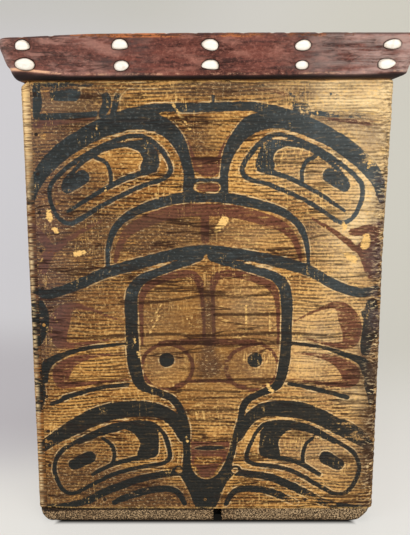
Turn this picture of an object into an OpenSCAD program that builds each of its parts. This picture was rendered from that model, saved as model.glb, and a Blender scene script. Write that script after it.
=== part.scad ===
// Bentwood storage box: one cedar plank, kerfed and bent round three corners and pegged at
// the fourth, on a rabbeted bottom board, under a carved lift-off lid set with shell opercula.
// Millimetres, +Z up, painted front towards -Y, origin at the middle of the underside.

/* [Side plank] */
// Outside width of the box, across its front
box_w = 400; // [340:5:460]
// Outside depth of the box, front to back
box_d = 380; // [330:5:440]
// Height of the side plank
side_h = 500; // [360:10:620]
// Thickness of the side plank
plank_t = 19; // [15:0.5:24]
// Outside radius of the three bent corners
bend_r = 10; // [5:0.5:14]
// Outside radius of the pegged corner
pegged_corner_r = 3; // [1:0.5:5]

/* [Kerfs] */
// Width of a closed kerf, as it shows on the rim
kerf_w = 0.8; // [0.6:0.1:1.4]
// Wood left to bend on the outside of a kerf
kerf_skin = 6; // [4:0.5:8]

/* [Pegged corner] */
// Width of the left side's lip, which shows its end grain beside the front
lip_w = 9.5; // [7:0.5:11]
// Gap along the rabbet where the two ends of the plank meet
joint_gap = 0.5; // [0.4:0.1:0.8]
// Pegs down the corner
corner_peg_n = 12; // [6:1:14]
// Length of a corner peg
corner_peg_len = 50; // [40:1:64]
// Height of the end pegs from the ends of the plank
corner_peg_end = 13; // [10:1:30]

/* [Pegs] */
// Diameter of a peg
peg_d = 4; // [3:0.25:4.5]
// Clearance round a peg, on the radius
peg_fit = 0.1; // [0.05:0.01:0.15]
// Height of the crowned tip that stands proud of the wood
peg_crown = 0.6; // [0.3:0.1:1.2]

/* [Bottom board] */
// Thickness of the edge that shows under the sides
bottom_edge_t = 18; // [12:1:24]
// Height of the raised panel inside the sides
bottom_panel_h = 24; // [16:1:32]
// Clearance round the raised panel
bottom_fit = 0.5; // [0.3:0.1:1]
// Radius worn along the lower edge
bottom_edge_r = 7; // [3:0.5:10]
// Pegs through each side into the panel
bottom_peg_n = 3; // [2:1:5]
// Length of a bottom peg
bottom_peg_len = 48; // [34:1:60]
// Width of the notch in the front edge
notch_w = 10; // [6:1:16]
// Middle of the notch, to the right of the box's middle
notch_x = 15; // [-40:1:40]

/* [Lid] */
// Height of the lid above the rim
lid_h = 47; // [42:1:60]
// Reach of the rounded underside past the box
lid_bevel_out = 8.5; // [6:0.5:16]
// Height of the rounded underside
lid_bevel_h = 7; // [5:0.5:14]
// Further reach of the sloping faces, from underside to top
lid_flare_out = 9; // [2:0.5:12]
// Rise of the top from its ends to its middle
lid_crown = 1; // [0.5:0.5:6]
// Radius along the top edges
lid_top_r = 4; // [2:0.5:6]
// Radius of the corners in plan
lid_corner_r = 7; // [3:0.5:12]
// Depth of the ring that drops inside the rim
lid_ring_h = 12; // [8:1:20]
// Thickness of that ring
lid_ring_t = 18; // [12:1:26]
// Clearance between ring and sides
lid_fit = 1.5; // [1:0.1:2.5]
// Depth of the hollow above the rim
lid_hollow_h = 22; // [10:1:24]
// Radius of the hollow's corners in plan
lid_hollow_r = 12; // [6:1:20]
// Slope of the hollow's walls, inwards to its roof
lid_hollow_slope = 8; // [4:1:14]

/* [Opercula] */
// Shells in each of the two rows
operculum_n = 5; // [3:1:6]
// Middle of an end shell from the end of the lid's face
operculum_end = 20; // [16:1:30]
// Middle of the lower row above the lower edge of the face
operculum_low = 8.2; // [7:0.1:9]
// Middle of the upper row below the upper edge of the face
operculum_high = 12.3; // [10:0.1:12.5]
// Height of a shell above the lid's face
operculum_rise = 2.6; // [1.5:0.1:4]
// Depth of the pocket that a shell is bedded in
pocket_depth = 3; // [2:0.5:5]
// Clearance between a shell and its pocket
pocket_fit = 0.3; // [0.2:0.05:0.5]

/* [Hidden] */
$fn = 64;
past = 1; // how far a cutter runs past a face
edge_steps = 6; // chords in a rounded edge

rim_z = bottom_edge_t + side_h;
inner_w = box_w - 2 * plank_t;
inner_d = box_d - 2 * plank_t;
panel_mid_z = bottom_edge_t + bottom_panel_h / 2;
peg_x = -box_w / 2 + (lip_w + joint_gap + plank_t) / 2;
peg_pitch = (side_h - 2 * corner_peg_end) / (corner_peg_n - 1);

// The lid's front face runs up and out from the rounded underside to the top
face_h = lid_h - lid_bevel_h;
face_slope = atan(lid_flare_out / face_h);
face_len = face_h / cos(face_slope);
face_mid_y = -box_d / 2 - lid_bevel_out - lid_flare_out / 2;
face_mid_z = rim_z + lid_bevel_h + face_h / 2;
// Each column of shells was set by eye, so many millimetres to the right of an even spacing
column_drift = [0, 7, 4.5, 5.5, 3];

// Each shell grew to its own shape: width, height, egg shape, flatness of its lower edge, lean
upper_shells = [[15.5, 14.5, 0, 0.5, 0], [17, 14.5, 0.05, 0.5, 2], [17.5, 12, 0.15, 0.05, -8],
    [17.5, 12, 0.08, 0.1, 6], [19, 11, 0.1, 0.1, 4]];
lower_shells = [[21, 13, 0.05, 0.05, -6], [16, 11.5, -0.12, 0.05, 8], [18, 13, 0.1, 0.5, -4],
    [13.5, 10.5, 0.05, 0.15, 0], [19, 11.5, -0.15, 0.05, 6]];
outline_steps = 24;
dome_steps = 4;

// The bottom pegs go in from all four sides: name, turn about Z, and reach of the face from the middle
peg_sides = [["front", 0, box_d / 2], ["right", 90, box_w / 2],
    ["back", 180, box_d / 2], ["left", 270, box_w / 2]];

function corner_peg_name(i) = str("corner_peg_", i);
function bottom_peg_name(side, i) = str("bottom_peg_", side[0], "_", i);
function operculum_name(row, i) = str("operculum_", row, "_", i);

// Points along an arc of an ellipse about c, without its first point
function arc(c, rx, ry, from, to, steps) =
    [for (k = [1 : steps]) let (a = from + (to - from) * k / steps) c + [rx * cos(a), ry * sin(a)]];

function mirrored(points) = [for (k = [len(points) - 1 : -1 : 0]) [-points[k][0], points[k][1]]];

// Right half of the lid's section: rounded underside, sloping face, rounded top edge, crowned top
function lid_half(half, crown) = let (
    edge = half + lid_bevel_out + lid_flare_out,
    shoulder = lid_h - crown
) concat(
    [[half, 0]],
    arc([half, lid_bevel_h], lid_bevel_out, lid_bevel_h, -90, 0, edge_steps),
    arc([edge - lid_top_r, shoulder - lid_top_r], lid_top_r, lid_top_r, 0, 90, edge_steps),
    [for (k = [1 : edge_steps]) let (s = 1 - k / edge_steps) [s * (edge - lid_top_r), lid_h - crown * s * s]]
);

function lid_section(half, crown) = let (right = lid_half(half, crown))
    concat(right, [for (p = mirrored(right)) if (p[0] < 0) p]);

// Section of the bottom board's edge, worn round below
function bottom_section(half) = let (
    right = concat(
        [[half - bottom_edge_r, 0]],
        arc([half - bottom_edge_r, bottom_edge_r], bottom_edge_r, bottom_edge_r, -90, 0, edge_steps),
        [[half, bottom_edge_t]]
    )
) concat(right, mirrored(right));

// Outline of a shell, grown by a clearance
function shell_outline(s, grow) = [for (k = [0 : outline_steps - 1]) let (
    a = 360 * k / outline_steps,
    x = (s[0] / 2 + grow) * cos(a),
    lower = -(1 - s[3]) * pow(max(0, -sin(a)), 1 - s[3]),
    y = (s[1] / 2 + grow) * (1 + s[2] * cos(a)) * (sin(a) < 0 ? lower : sin(a))
) [x * cos(s[4]) - y * sin(s[4]), x * sin(s[4]) + y * cos(s[4])]];

// Height of a row above the middle of the face, and how far out its columns are from the middle
function row_up(row) = row == "upper" ? face_len / 2 - operculum_high : operculum_low - face_len / 2;
function column_x(row, i) = let (
    end_x = box_w / 2 + lid_bevel_out + lid_flare_out * (1 / 2 + row_up(row) / face_len) - operculum_end
) end_x * (2 * (i - 1) / (operculum_n - 1) - 1) + column_drift[(i - 1) % len(column_drift)];

function shell_of(row, i) = let (shells = row == "upper" ? upper_shells : lower_shells)
    shells[(i - 1) % len(shells)];

// A rectangle with a radius of its own at each corner, listed front left and then anticlockwise
module rounded_plan(w, d, radii) {
    corners = [[-1, -1], [1, -1], [1, 1], [-1, 1]];
    difference() {
        square([w, d], center = true);
        for (k = [0 : 3])
            translate([corners[k][0] * w / 2, corners[k][1] * d / 2])
                rotate(90 * k)
                    difference() {
                        translate([-past, -past])
                            square(radii[k] + past);
                        translate([radii[k], radii[k]])
                            circle(radii[k]);
                    }
    }
}

module box_plan() {
    rounded_plan(box_w, box_d, [pegged_corner_r, bend_r, bend_r, bend_r]);
}

// A block with one section seen from the front and another seen from the side
module two_way_block(front_section, side_section, reach) {
    intersection() {
        rotate([90, 0, 0])
            linear_extrude(reach, center = true)
                polygon(front_section);
        rotate([90, 0, 90])
            linear_extrude(reach, center = true)
                polygon(side_section);
    }
}

// Saw line of one closed kerf, from the inside corner out towards the bend
module kerf(side_x, side_y) {
    depth = (plank_t - bend_r) * sqrt(2) + bend_r - kerf_skin;
    translate([side_x * inner_w / 2, side_y * inner_d / 2])
        rotate(atan2(side_y, side_x))
            translate([-past, -kerf_w / 2])
                square([depth + past, kerf_w]);
}

// Line of the rabbet where the front's end is lapped by the left side's lip
module rabbet_line() {
    translate([-box_w / 2 + lip_w, -box_d / 2 - past])
        square([joint_gap, plank_t + joint_gap + past]);
    translate([-box_w / 2 + lip_w, -box_d / 2 + plank_t])
        square([plank_t - lip_w + past, joint_gap]);
}

// A whittled peg along +Y, its crowned tip just proud of y = 0
module peg(len) {
    rotate([-90, 0, 0])
        rotate_extrude()
            polygon(concat(
                [[0, -peg_crown]],
                arc([0, 0], peg_d / 2, peg_crown, -90, 0, edge_steps),
                [[peg_d / 2, len - peg_d / 2], [peg_d / 4, len], [0, len]]
            ));
}

module peg_hole(len) {
    translate([0, -past, 0])
        rotate([-90, 0, 0])
            cylinder(h = len + past, d = peg_d + 2 * peg_fit);
}

module at_corner_peg(i) {
    translate([peg_x, -box_d / 2, bottom_edge_t + corner_peg_end + (i - 1) * peg_pitch])
        children();
}

module at_bottom_peg(side, i) {
    run = side[1] % 180 == 0 ? inner_w : inner_d;
    rotate(side[1])
        translate([(i - (bottom_peg_n + 1) / 2) * run / bottom_peg_n, -side[2], panel_mid_z])
            children();
}

module bottom_peg_holes() {
    for (side = peg_sides, i = [1 : bottom_peg_n])
        at_bottom_peg(side, i)
            peg_hole(bottom_peg_len);
}

// Frame of a shell on the lid's sloping face: X along the face, Y up it, Z out of it
module at_operculum(row, i) {
    translate([column_x(row, i), face_mid_y, face_mid_z])
        rotate([90 + face_slope, 0, 0])
            translate([0, row_up(row), 0])
                children();
}

module box_sides() {
    color("peru")
        difference() {
            translate([0, 0, bottom_edge_t])
                linear_extrude(side_h)
                    difference() {
                        box_plan();
                        square([inner_w, inner_d], center = true);
                        kerf(1, -1);
                        kerf(1, 1);
                        kerf(-1, 1);
                        rabbet_line();
                    }
            for (i = [1 : corner_peg_n])
                at_corner_peg(i)
                    peg_hole(corner_peg_len);
            bottom_peg_holes();
        }
}

module box_bottom() {
    color("sienna")
        difference() {
            union() {
                intersection() {
                    two_way_block(bottom_section(box_w / 2), bottom_section(box_d / 2), 2 * (box_w + box_d));
                    linear_extrude(bottom_edge_t)
                        box_plan();
                }
                translate([0, 0, bottom_edge_t / 2])
                    linear_extrude(bottom_edge_t / 2 + bottom_panel_h)
                        square([inner_w - 2 * bottom_fit, inner_d - 2 * bottom_fit], center = true);
            }
            translate([notch_x - notch_w / 2, -box_d / 2 - past, -past])
                cube([notch_w, plank_t + past, bottom_edge_t + 2 * past]);
            bottom_peg_holes();
        }
}

module corner_peg(i) {
    color("burlywood")
        at_corner_peg(i)
            peg(corner_peg_len);
}

module bottom_peg(side, i) {
    color("burlywood")
        at_bottom_peg(side, i)
            peg(bottom_peg_len);
}

module lid_blank() {
    lid_reach = 2 * (lid_bevel_out + lid_flare_out);
    intersection() {
        two_way_block(lid_section(box_w / 2, lid_crown), lid_section(box_d / 2, 0), 2 * (box_w + box_d));
        linear_extrude(lid_h + past)
            rounded_plan(box_w + lid_reach, box_d + lid_reach, [for (k = [1 : 4]) lid_corner_r]);
    }
}

// Section of the lid's hollow: straight through the ring, then sloping in to the roof
function hollow_section(half) = let (
    right = [[half, -lid_ring_h - past], [half, 0], [half - lid_hollow_slope, lid_hollow_h]]
) concat(right, mirrored(right));

module lid_hollow() {
    w = inner_w - 2 * (lid_fit + lid_ring_t);
    d = inner_d - 2 * (lid_fit + lid_ring_t);
    intersection() {
        two_way_block(hollow_section(w / 2), hollow_section(d / 2), 2 * (box_w + box_d));
        translate([0, 0, -lid_ring_h - past])
            linear_extrude(lid_ring_h + lid_hollow_h + 2 * past)
                rounded_plan(w, d, [for (k = [1 : 4]) lid_hollow_r]);
    }
}

module lid() {
    color("#5a2620")
        difference() {
            translate([0, 0, rim_z])
                difference() {
                    union() {
                        lid_blank();
                        translate([0, 0, -lid_ring_h])
                            linear_extrude(lid_ring_h + lid_bevel_h)
                                square([inner_w - 2 * lid_fit, inner_d - 2 * lid_fit], center = true);
                    }
                    lid_hollow();
                }
            for (row = ["upper", "lower"], i = [1 : operculum_n])
                at_operculum(row, i)
                    translate([0, 0, -pocket_depth])
                        linear_extrude(pocket_depth + operculum_rise)
                            polygon(shell_outline(shell_of(row, i), pocket_fit));
        }
}

// A shell bedded in its pocket: straight below the lid's face and domed above it
module operculum(row, i) {
    outline = shell_outline(shell_of(row, i), 0);
    rings = concat(
        [[1, -pocket_depth + pocket_fit]],
        [for (k = [0 : dome_steps - 1]) let (a = 90 * k / dome_steps) [cos(a), operculum_rise * sin(a)]]
    );
    last = len(rings) - 1;
    points = concat(
        [for (r = rings, p = outline) [r[0] * p[0], r[0] * p[1], r[1]]],
        [[0, 0, rings[0][1]], [0, 0, operculum_rise]]
    );
    base = len(points) - 2;
    crown = len(points) - 1;
    faces = concat(
        [for (k = [0 : outline_steps - 1]) [k, (k + 1) % outline_steps, base]],
        [for (r = [0 : last - 1], k = [0 : outline_steps - 1]) let (
            a = r * outline_steps + k,
            b = r * outline_steps + (k + 1) % outline_steps
        ) each [[a, a + outline_steps, b], [b, a + outline_steps, b + outline_steps]]],
        [for (k = [0 : outline_steps - 1])
            [last * outline_steps + (k + 1) % outline_steps, last * outline_steps + k, crown]]
    );
    color("ivory")
        at_operculum(row, i)
            polyhedron(points, faces);
}

box_sides();
box_bottom();
lid();
for (i = [1 : corner_peg_n])
    corner_peg(i);
for (side = peg_sides, i = [1 : bottom_peg_n])
    bottom_peg(side, i);
for (row = ["upper", "lower"], i = [1 : operculum_n])
    operculum(row, i);
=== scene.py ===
"""Dresses a kerf-bent cedar box: painted plank sides, bottom board, pegs, carved lid and shells."""

import functools
import math

import bpy
import numpy as np
from bpy.props import FloatProperty, FloatVectorProperty, PointerProperty
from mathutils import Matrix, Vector
from mathutils.geometry import tessellate_polygon


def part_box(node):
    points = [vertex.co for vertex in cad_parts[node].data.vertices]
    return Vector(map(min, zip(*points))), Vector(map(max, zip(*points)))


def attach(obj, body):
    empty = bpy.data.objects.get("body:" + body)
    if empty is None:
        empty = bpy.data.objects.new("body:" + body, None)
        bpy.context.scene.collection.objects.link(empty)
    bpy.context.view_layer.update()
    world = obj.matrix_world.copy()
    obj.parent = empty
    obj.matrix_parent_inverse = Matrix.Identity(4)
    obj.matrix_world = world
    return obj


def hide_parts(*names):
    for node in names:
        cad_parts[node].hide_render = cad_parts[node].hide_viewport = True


bl_info = {
    "name": "Bentwood Box",
    "version": (1, 0, 0),
    "blender": (4, 5, 0),
    "location": "View3D > Sidebar > Bentwood",
    "description": "Builds the visible pieces of a painted bentwood box around its solids",
    "category": "Object",
}

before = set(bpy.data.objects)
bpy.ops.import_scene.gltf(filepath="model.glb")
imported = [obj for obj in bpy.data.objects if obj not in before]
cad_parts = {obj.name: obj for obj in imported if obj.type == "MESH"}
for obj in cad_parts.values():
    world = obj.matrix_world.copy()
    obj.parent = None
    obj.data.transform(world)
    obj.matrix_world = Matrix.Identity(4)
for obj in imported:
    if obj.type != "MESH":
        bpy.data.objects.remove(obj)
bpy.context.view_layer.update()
MM = 0.001


def solid(node):
    """Lowest and highest corner of a solid, in millimetres."""
    low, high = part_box(node)
    return np.array(low) / MM, np.array(high) / MM


SIDES_LOW, SIDES_HIGH = solid("box_sides")
HALF_W, HALF_D, RIM_Z = SIDES_HIGH
SEAM_Z = SIDES_LOW[2]
SIDE_H = RIM_Z - SEAM_Z
BOARD_Z, PANEL_Z = (corner[2] for corner in solid("box_bottom"))
LID_Z = solid("lid")[1][2]
PEGS = sorted(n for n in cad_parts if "_peg_" in n)


def linear(red, green, blue):
    """A colour written in screen values from 0 to 255, as scene light."""
    return tuple(
        c / 12.92 if c <= 0.04045 else ((c + 0.055) / 1.055) ** 2.4
        for c in (red / 255, green / 255, blue / 255)
    )


def length(name, description, millimetres):
    """A setting for a length."""
    return FloatProperty(
        name=name, description=description, default=millimetres * MM, unit="LENGTH", precision=4
    )


def swatch(name, description, red, green, blue):
    """A setting for a colour, in screen values."""
    return FloatVectorProperty(
        name=name,
        description=description,
        default=linear(red, green, blue),
        subtype="COLOR",
        size=3,
        min=0,
        max=1,
    )


class PlankSettings(bpy.types.PropertyGroup):
    """Sizes and colours of the bent plank."""

    thickness: length("Thickness", "Thickness of the side plank", 19)
    bend_radius: length("Bend radius", "Outside radius of the bent corners", 10)
    pegged_radius: length("Pegged corner radius", "Outside radius of the pegged corner", 3)
    lip: length("Lip", "Width of the end grain beside the front", 9.5)
    joint_gap: length("Joint gap", "Gap along the pegged joint", 0.15)
    kerf: length("Kerf", "Width of a closed kerf on the rim", 0.8)
    kerf_skin: length("Kerf skin", "Wood left outside a kerf", 6)
    front_step: length("Front step", "Spacing of the mesh over the painted front", 2.1)
    side_step: length("Side step", "Spacing of the mesh over the bare sides", 12)
    row_step: length("Row step", "Spacing of the mesh up the plank", 2.5)
    cedar_light: swatch("Light cedar", "Early wood of the plank", 190, 140, 74)
    cedar_mid: swatch("Cedar", "Mean colour of the plank", 143, 96, 46)
    cedar_dark: swatch("Dark cedar", "Late wood and dirt in the grain", 44, 24, 8)
    fresh_wood: swatch("Fresh wood", "Wood bared in chips and scratches", 226, 183, 112)
    black_paint: swatch("Black paint", "Primary formlines", 25, 27, 25)
    red_paint: swatch("Red paint", "Secondary formlines", 100, 57, 43)
    growth: length("Growth ring", "Spacing of the growth lines on the face", 3.9)
    crack: swatch("Cracks", "Dirt in the drying cracks", 38, 18, 10)
    pale: swatch("Bleached cedar", "Wood rubbed pale and dry", 226, 198, 150)
    grime: swatch("Grime", "Brown grime low on the box", 82, 61, 44)
    # colour of a painted sheen on the black paint
    black_sheen: swatch("Bloom", "Chalky bloom on the black paint", 74, 84, 88)
    wash: swatch("Wash", "Plum stain left by handling", 85, 70, 68)


class BottomSettings(bpy.types.PropertyGroup):
    """Sizes and colours of the bottom board."""

    edge_radius: length("Edge radius", "Radius worn along the lower edge", 7)
    panel_fit: length("Panel fit", "Clearance round the raised panel", 0.5)
    notch_width: length("Notch width", "Width of the notch in the front edge", 10)
    notch_middle: length("Notch middle", "Middle of the notch from the box's middle", 15)
    wood: swatch("Board", "Mean colour of the board's edge", 96, 77, 54)
    pale: swatch("Pale fibre", "Light fibres in the end grain", 192, 164, 126)
    dark: swatch("Dark pore", "Dark pits in the end grain", 34, 24, 12)


class LidSettings(bpy.types.PropertyGroup):
    """Sizes and colours of the lid."""

    bevel_out: length("Underside reach", "Reach of the rounded underside past the box", 8.5)
    bevel_height: length("Underside height", "Height of the rounded underside", 7)
    flare_out: length("Flare", "Further reach of the sloping faces", 9)
    crown: length("Crown", "Rise of the top from its ends to its middle", 1)
    top_radius: length("Top radius", "Radius along the top edges", 4)
    ring_depth: length("Ring depth", "Depth of the ring inside the rim", 12)
    ring_width: length("Ring width", "Thickness of the ring", 18)
    ring_fit: length("Ring fit", "Clearance between ring and sides", 1.5)
    hollow: length("Hollow", "Depth of the hollow above the rim", 22)
    hollow_slope: length("Hollow slope", "Slope of the hollow's walls", 8)
    # colour of a pale painted sheen towards the lid's ends
    end_sheen: swatch("Haze", "Dry film on the paint towards the ends", 186, 160, 152)
    paint: swatch("Paint", "Dull red-brown paint", 103, 53, 42)
    paint_dark: swatch("Dark paint", "Paint darkened by handling", 52, 22, 16)
    worn: swatch("Worn wood", "Wood bared along the edges", 176, 104, 58)
    # colour of a painted sheen on the lid's paint
    sheen: swatch("Sheen", "Paint rubbed light and smooth", 148, 97, 83)
    smudge: swatch("Smudge", "Soot and grease on the paint", 54, 47, 46)
    arris: swatch("Arris", "Edges rubbed to pale wood", 226, 176, 140)


class ShellSettings(bpy.types.PropertyGroup):
    """Sizes and colours of the opercula."""

    rise: length("Rise", "Height of a shell above the lid's face", 2.6)
    seat: length("Seat", "Depth of a shell below the lid's face", 2.7)
    row_low: length("Lower row", "Middle of the lower row above the lower edge of the face", 8.2)
    row_gap: length("Row gap", "Distance between the two rows", 20.5)
    end_gap: length("End gap", "Middle of an end shell from the end of the face", 20)
    body: swatch("Shell", "Cream of the shell", 230, 225, 217)
    shade: swatch("Shell shade", "Warm shade near its margin", 190, 172, 152)
    # dirt with painted shade, in the pocket round a shell and at its edge
    grime: swatch("Grime", "Dirt in the pocket round a shell", 34, 22, 20)


class StageSettings(bpy.types.PropertyGroup):
    """Camera, light and floor."""

    lens: FloatProperty(name="Lens", description="Focal length on a 36 mm tall frame", default=44.98)
    distance: length("Distance", "Camera in front of the middle of the box", 938)
    height: length("Height", "Camera above the floor", 440)
    pitch: FloatProperty(
        name="Pitch", description="Camera tilt below level", default=math.radians(9.59), subtype="ANGLE"
    )
    floor: swatch("Floor", "Pale floor", 233, 231, 226)
    dusk: swatch("Dusk", "Soft shade behind the box on the left", 189, 185, 188)
    cool: swatch("Cool backdrop", "Backdrop on the left", 209, 207, 210)
    warm: swatch("Warm backdrop", "Backdrop on the right", 208, 205, 194)


# Shader expressions


class Value:
    """A socket; arithmetic on it adds Math nodes."""

    def __init__(self, finish, socket):
        self.finish = finish
        self.socket = socket

    def math(self, operation, *terms):
        return self.finish.node("ShaderNodeMath", {"operation": operation}, dict(enumerate(terms)))

    def __add__(self, other):
        return self.math("ADD", self, other)

    __radd__ = __add__

    def __sub__(self, other):
        return self.math("SUBTRACT", self, other)

    def __rsub__(self, other):
        return self.math("SUBTRACT", other, self)

    def __mul__(self, other):
        return self.math("MULTIPLY", self, other)

    __rmul__ = __mul__

    def __truediv__(self, other):
        return self.math("DIVIDE", self, other)

    def __rtruediv__(self, other):
        return self.math("DIVIDE", other, self)

    def __abs__(self):
        return self.math("ABSOLUTE", self)

    def least(self, other):
        return self.math("MINIMUM", self, other)

    def most(self, other):
        return self.math("MAXIMUM", self, other)

    def wave(self):
        return self.math("SINE", self)

    def ramp(self, low, high):
        """0 at low and 1 at high, eased; low may be the larger."""
        return self.finish.node(
            "ShaderNodeMapRange",
            {"interpolation_type": "SMOOTHSTEP"},
            {0: self, 1: low, 2: high, 3: 0.0, 4: 1.0},
        )


class Finish:
    """A procedural material under construction."""

    def __init__(self, name):
        self.material = bpy.data.materials.new(name)
        self.material.use_nodes = True
        self.tree = self.material.node_tree
        self.tree.nodes.clear()

    def node(self, kind, settings=None, inputs=None, output=0):
        """One node: its settings are set first, then its sockets are set or linked."""
        made = self.tree.nodes.new(kind)
        for key, value in (settings or {}).items():
            setattr(made, key, value)
        for key, value in (inputs or {}).items():
            if isinstance(value, Value):
                self.tree.links.new(value.socket, made.inputs[key])
            else:
                made.inputs[key].default_value = value
        return Value(self, made.outputs[output]) if made.outputs else made

    def mix(self, first, second, amount):
        """A colour from first to second."""
        first, second = (c if isinstance(c, Value) else (*c, 1.0) for c in (first, second))
        return self.node(
            "ShaderNodeMix", {"data_type": "RGBA"}, {0: amount, 6: first, 7: second}, output=2
        )

    def tint(self, base, shade, amount):
        """base multiplied by shade."""
        return self.node(
            "ShaderNodeMix",
            {"data_type": "RGBA", "blend_type": "MULTIPLY"},
            {0: amount, 6: base, 7: (*shade, 1.0)},
            output=2,
        )

    def scaled(self, vector, factors):
        return self.node("ShaderNodeVectorMath", {"operation": "MULTIPLY"}, {0: vector, 1: factors})

    def shifted(self, vector, offset):
        return self.node("ShaderNodeVectorMath", {"operation": "ADD"}, {0: vector, 1: offset})

    def noise(self, place, lumps, detail=3.0, roughness=0.55, distortion=0.0):
        """Cloudy noise from 0 to 1; lumps is how many there are in a unit of place, along each axis."""
        return self.node(
            "ShaderNodeTexNoise",
            {"noise_dimensions": "3D"},
            {
                "Vector": self.scaled(place, lumps),
                "Scale": 1.0,
                "Detail": detail,
                "Roughness": roughness,
                "Distortion": distortion,
            },
        )

    def field(self, name):
        """A number kept on the mesh's points."""
        return self.node("ShaderNodeAttribute", {"attribute_name": name}, output=2)

    def place(self, name):
        """A vector kept on the mesh's points."""
        return self.node("ShaderNodeAttribute", {"attribute_name": name}, output=1)

    def object_place(self):
        """A place on the piece, in metres."""
        return self.node("ShaderNodeTexCoord", output=3)

    def object_millimetres(self):
        return self.scaled(self.object_place(), (1 / MM, 1 / MM, 1 / MM))

    def axis(self, vector, index):
        return self.node("ShaderNodeSeparateXYZ", inputs={0: vector}, output=index)

    def surface(self, base, roughness, bumps, specular):
        """Principled surface; bumps is a list of (height in metres, strength)."""
        normal = None
        for height, strength in bumps:
            inputs = {"Strength": strength, "Distance": 1.0, "Height": height}
            if normal:
                inputs["Normal"] = normal
            normal = self.node("ShaderNodeBump", inputs=inputs)
        inputs = {"Base Color": base, "Roughness": roughness, "Specular IOR Level": specular}
        if normal:
            inputs["Normal"] = normal
        shader = self.node("ShaderNodeBsdfPrincipled", inputs=inputs)
        self.node("ShaderNodeOutputMaterial", inputs={"Surface": shader})
        return self.material


# Mesh building


def ripple(seed, *waves):
    """Smooth unevenness about 0, near 1 at most; waves are (coordinate, wavelength) pairs."""
    draw = np.random.default_rng(seed)
    total = 0.0
    count = 7
    for _ in range(count):
        phase = draw.uniform(0, 2 * math.pi)
        for place, wavelength in waves:
            phase = phase + draw.normal(0, 1) * 2 * math.pi * place / wavelength
        total = total + np.sin(phase)
    return total / count * 1.6


def eased(value, low, high):
    """0 at low and 1 at high, with a soft start and end."""
    t = np.clip((value - low) / (high - low), 0, 1)
    return t * t * (3 - 2 * t)


def mesh_piece(name, points, faces, fields=None, places=None, smooth_angle=40):
    """A mesh object from points in millimetres, with numbers and vectors kept on its points."""
    mesh = bpy.data.meshes.new(name)
    mesh.from_pydata((np.asarray(points, float) * MM).tolist(), [], faces)
    for key, values in (fields or {}).items():
        layer = mesh.attributes.new(key, "FLOAT", "POINT")
        layer.data.foreach_set("value", np.asarray(values, np.float32).ravel())
    for key, values in (places or {}).items():
        layer = mesh.attributes.new(key, "FLOAT_VECTOR", "POINT")
        layer.data.foreach_set("vector", np.asarray(values, np.float32).ravel())
    mesh.validate()
    mesh.update()
    piece = bpy.data.objects.new(name, mesh)
    bpy.context.collection.objects.link(piece)
    mesh.shade_smooth()
    with bpy.context.temp_override(
        object=piece, active_object=piece, selected_objects=[piece], selected_editable_objects=[piece]
    ):
        bpy.ops.object.shade_smooth_by_angle(angle=math.radians(smooth_angle))
    return piece


def loft_faces(rings, columns):
    """Quads between rings that are closed loops of the same number of points."""
    index = np.arange(rings * columns).reshape(rings, columns)
    low, high = index[:-1], index[1:]
    quads = np.stack([low, np.roll(low, -1, 1), np.roll(high, -1, 1), high], -1)
    return quads.reshape(-1, 4).tolist(), index


def closed_loft(rings, columns):
    """Faces of a loft with a flat face over its first ring and its last."""
    quads, index = loft_faces(rings, columns)
    return quads + [index[0, ::-1].tolist(), index[-1].tolist()]


def hand_over(piece, body, finish, node):
    """The piece rides on its body, stands for its solid and gets its finish."""
    piece.data.materials.append(finish)
    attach(piece, body)
    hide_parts(node)


def rounded_loop(half_w, half_d, radius, columns, corner_steps=5):
    """Points round a rounded rectangle, from the front's left end; columns holds front places from -1
    to 1 and the number of steps on the right, back and left."""
    front, right, back, left = columns
    radius = min(radius, half_w, half_d)
    x, y = half_w - radius, half_d - radius
    runs = [
        np.stack([front * x, np.full(len(front), -half_d)], 1),
        np.stack([np.full(right + 1, half_w), np.linspace(-y, y, right + 1)], 1),
        np.stack([np.linspace(x, -x, back + 1), np.full(back + 1, half_d)], 1),
        np.stack([np.full(left + 1, -half_w), np.linspace(y, -y, left + 1)], 1),
    ]
    middles = [(x, -y), (x, y), (-x, y), (-x, -y)]
    out = []
    for k, (run, middle) in enumerate(zip(runs, middles)):
        angles = np.radians(-90 + 90 * k + 90 * np.arange(1, corner_steps) / corner_steps)
        out += [run, np.array(middle) + radius * np.stack([np.cos(angles), np.sin(angles)], 1)]
    return np.vstack(out)


# The painting: curves in millimetres on the front, x from its middle and z up from the seam. Each
# point carries the stroke's half width there. The left half is written and the right half mirrors it.

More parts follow.
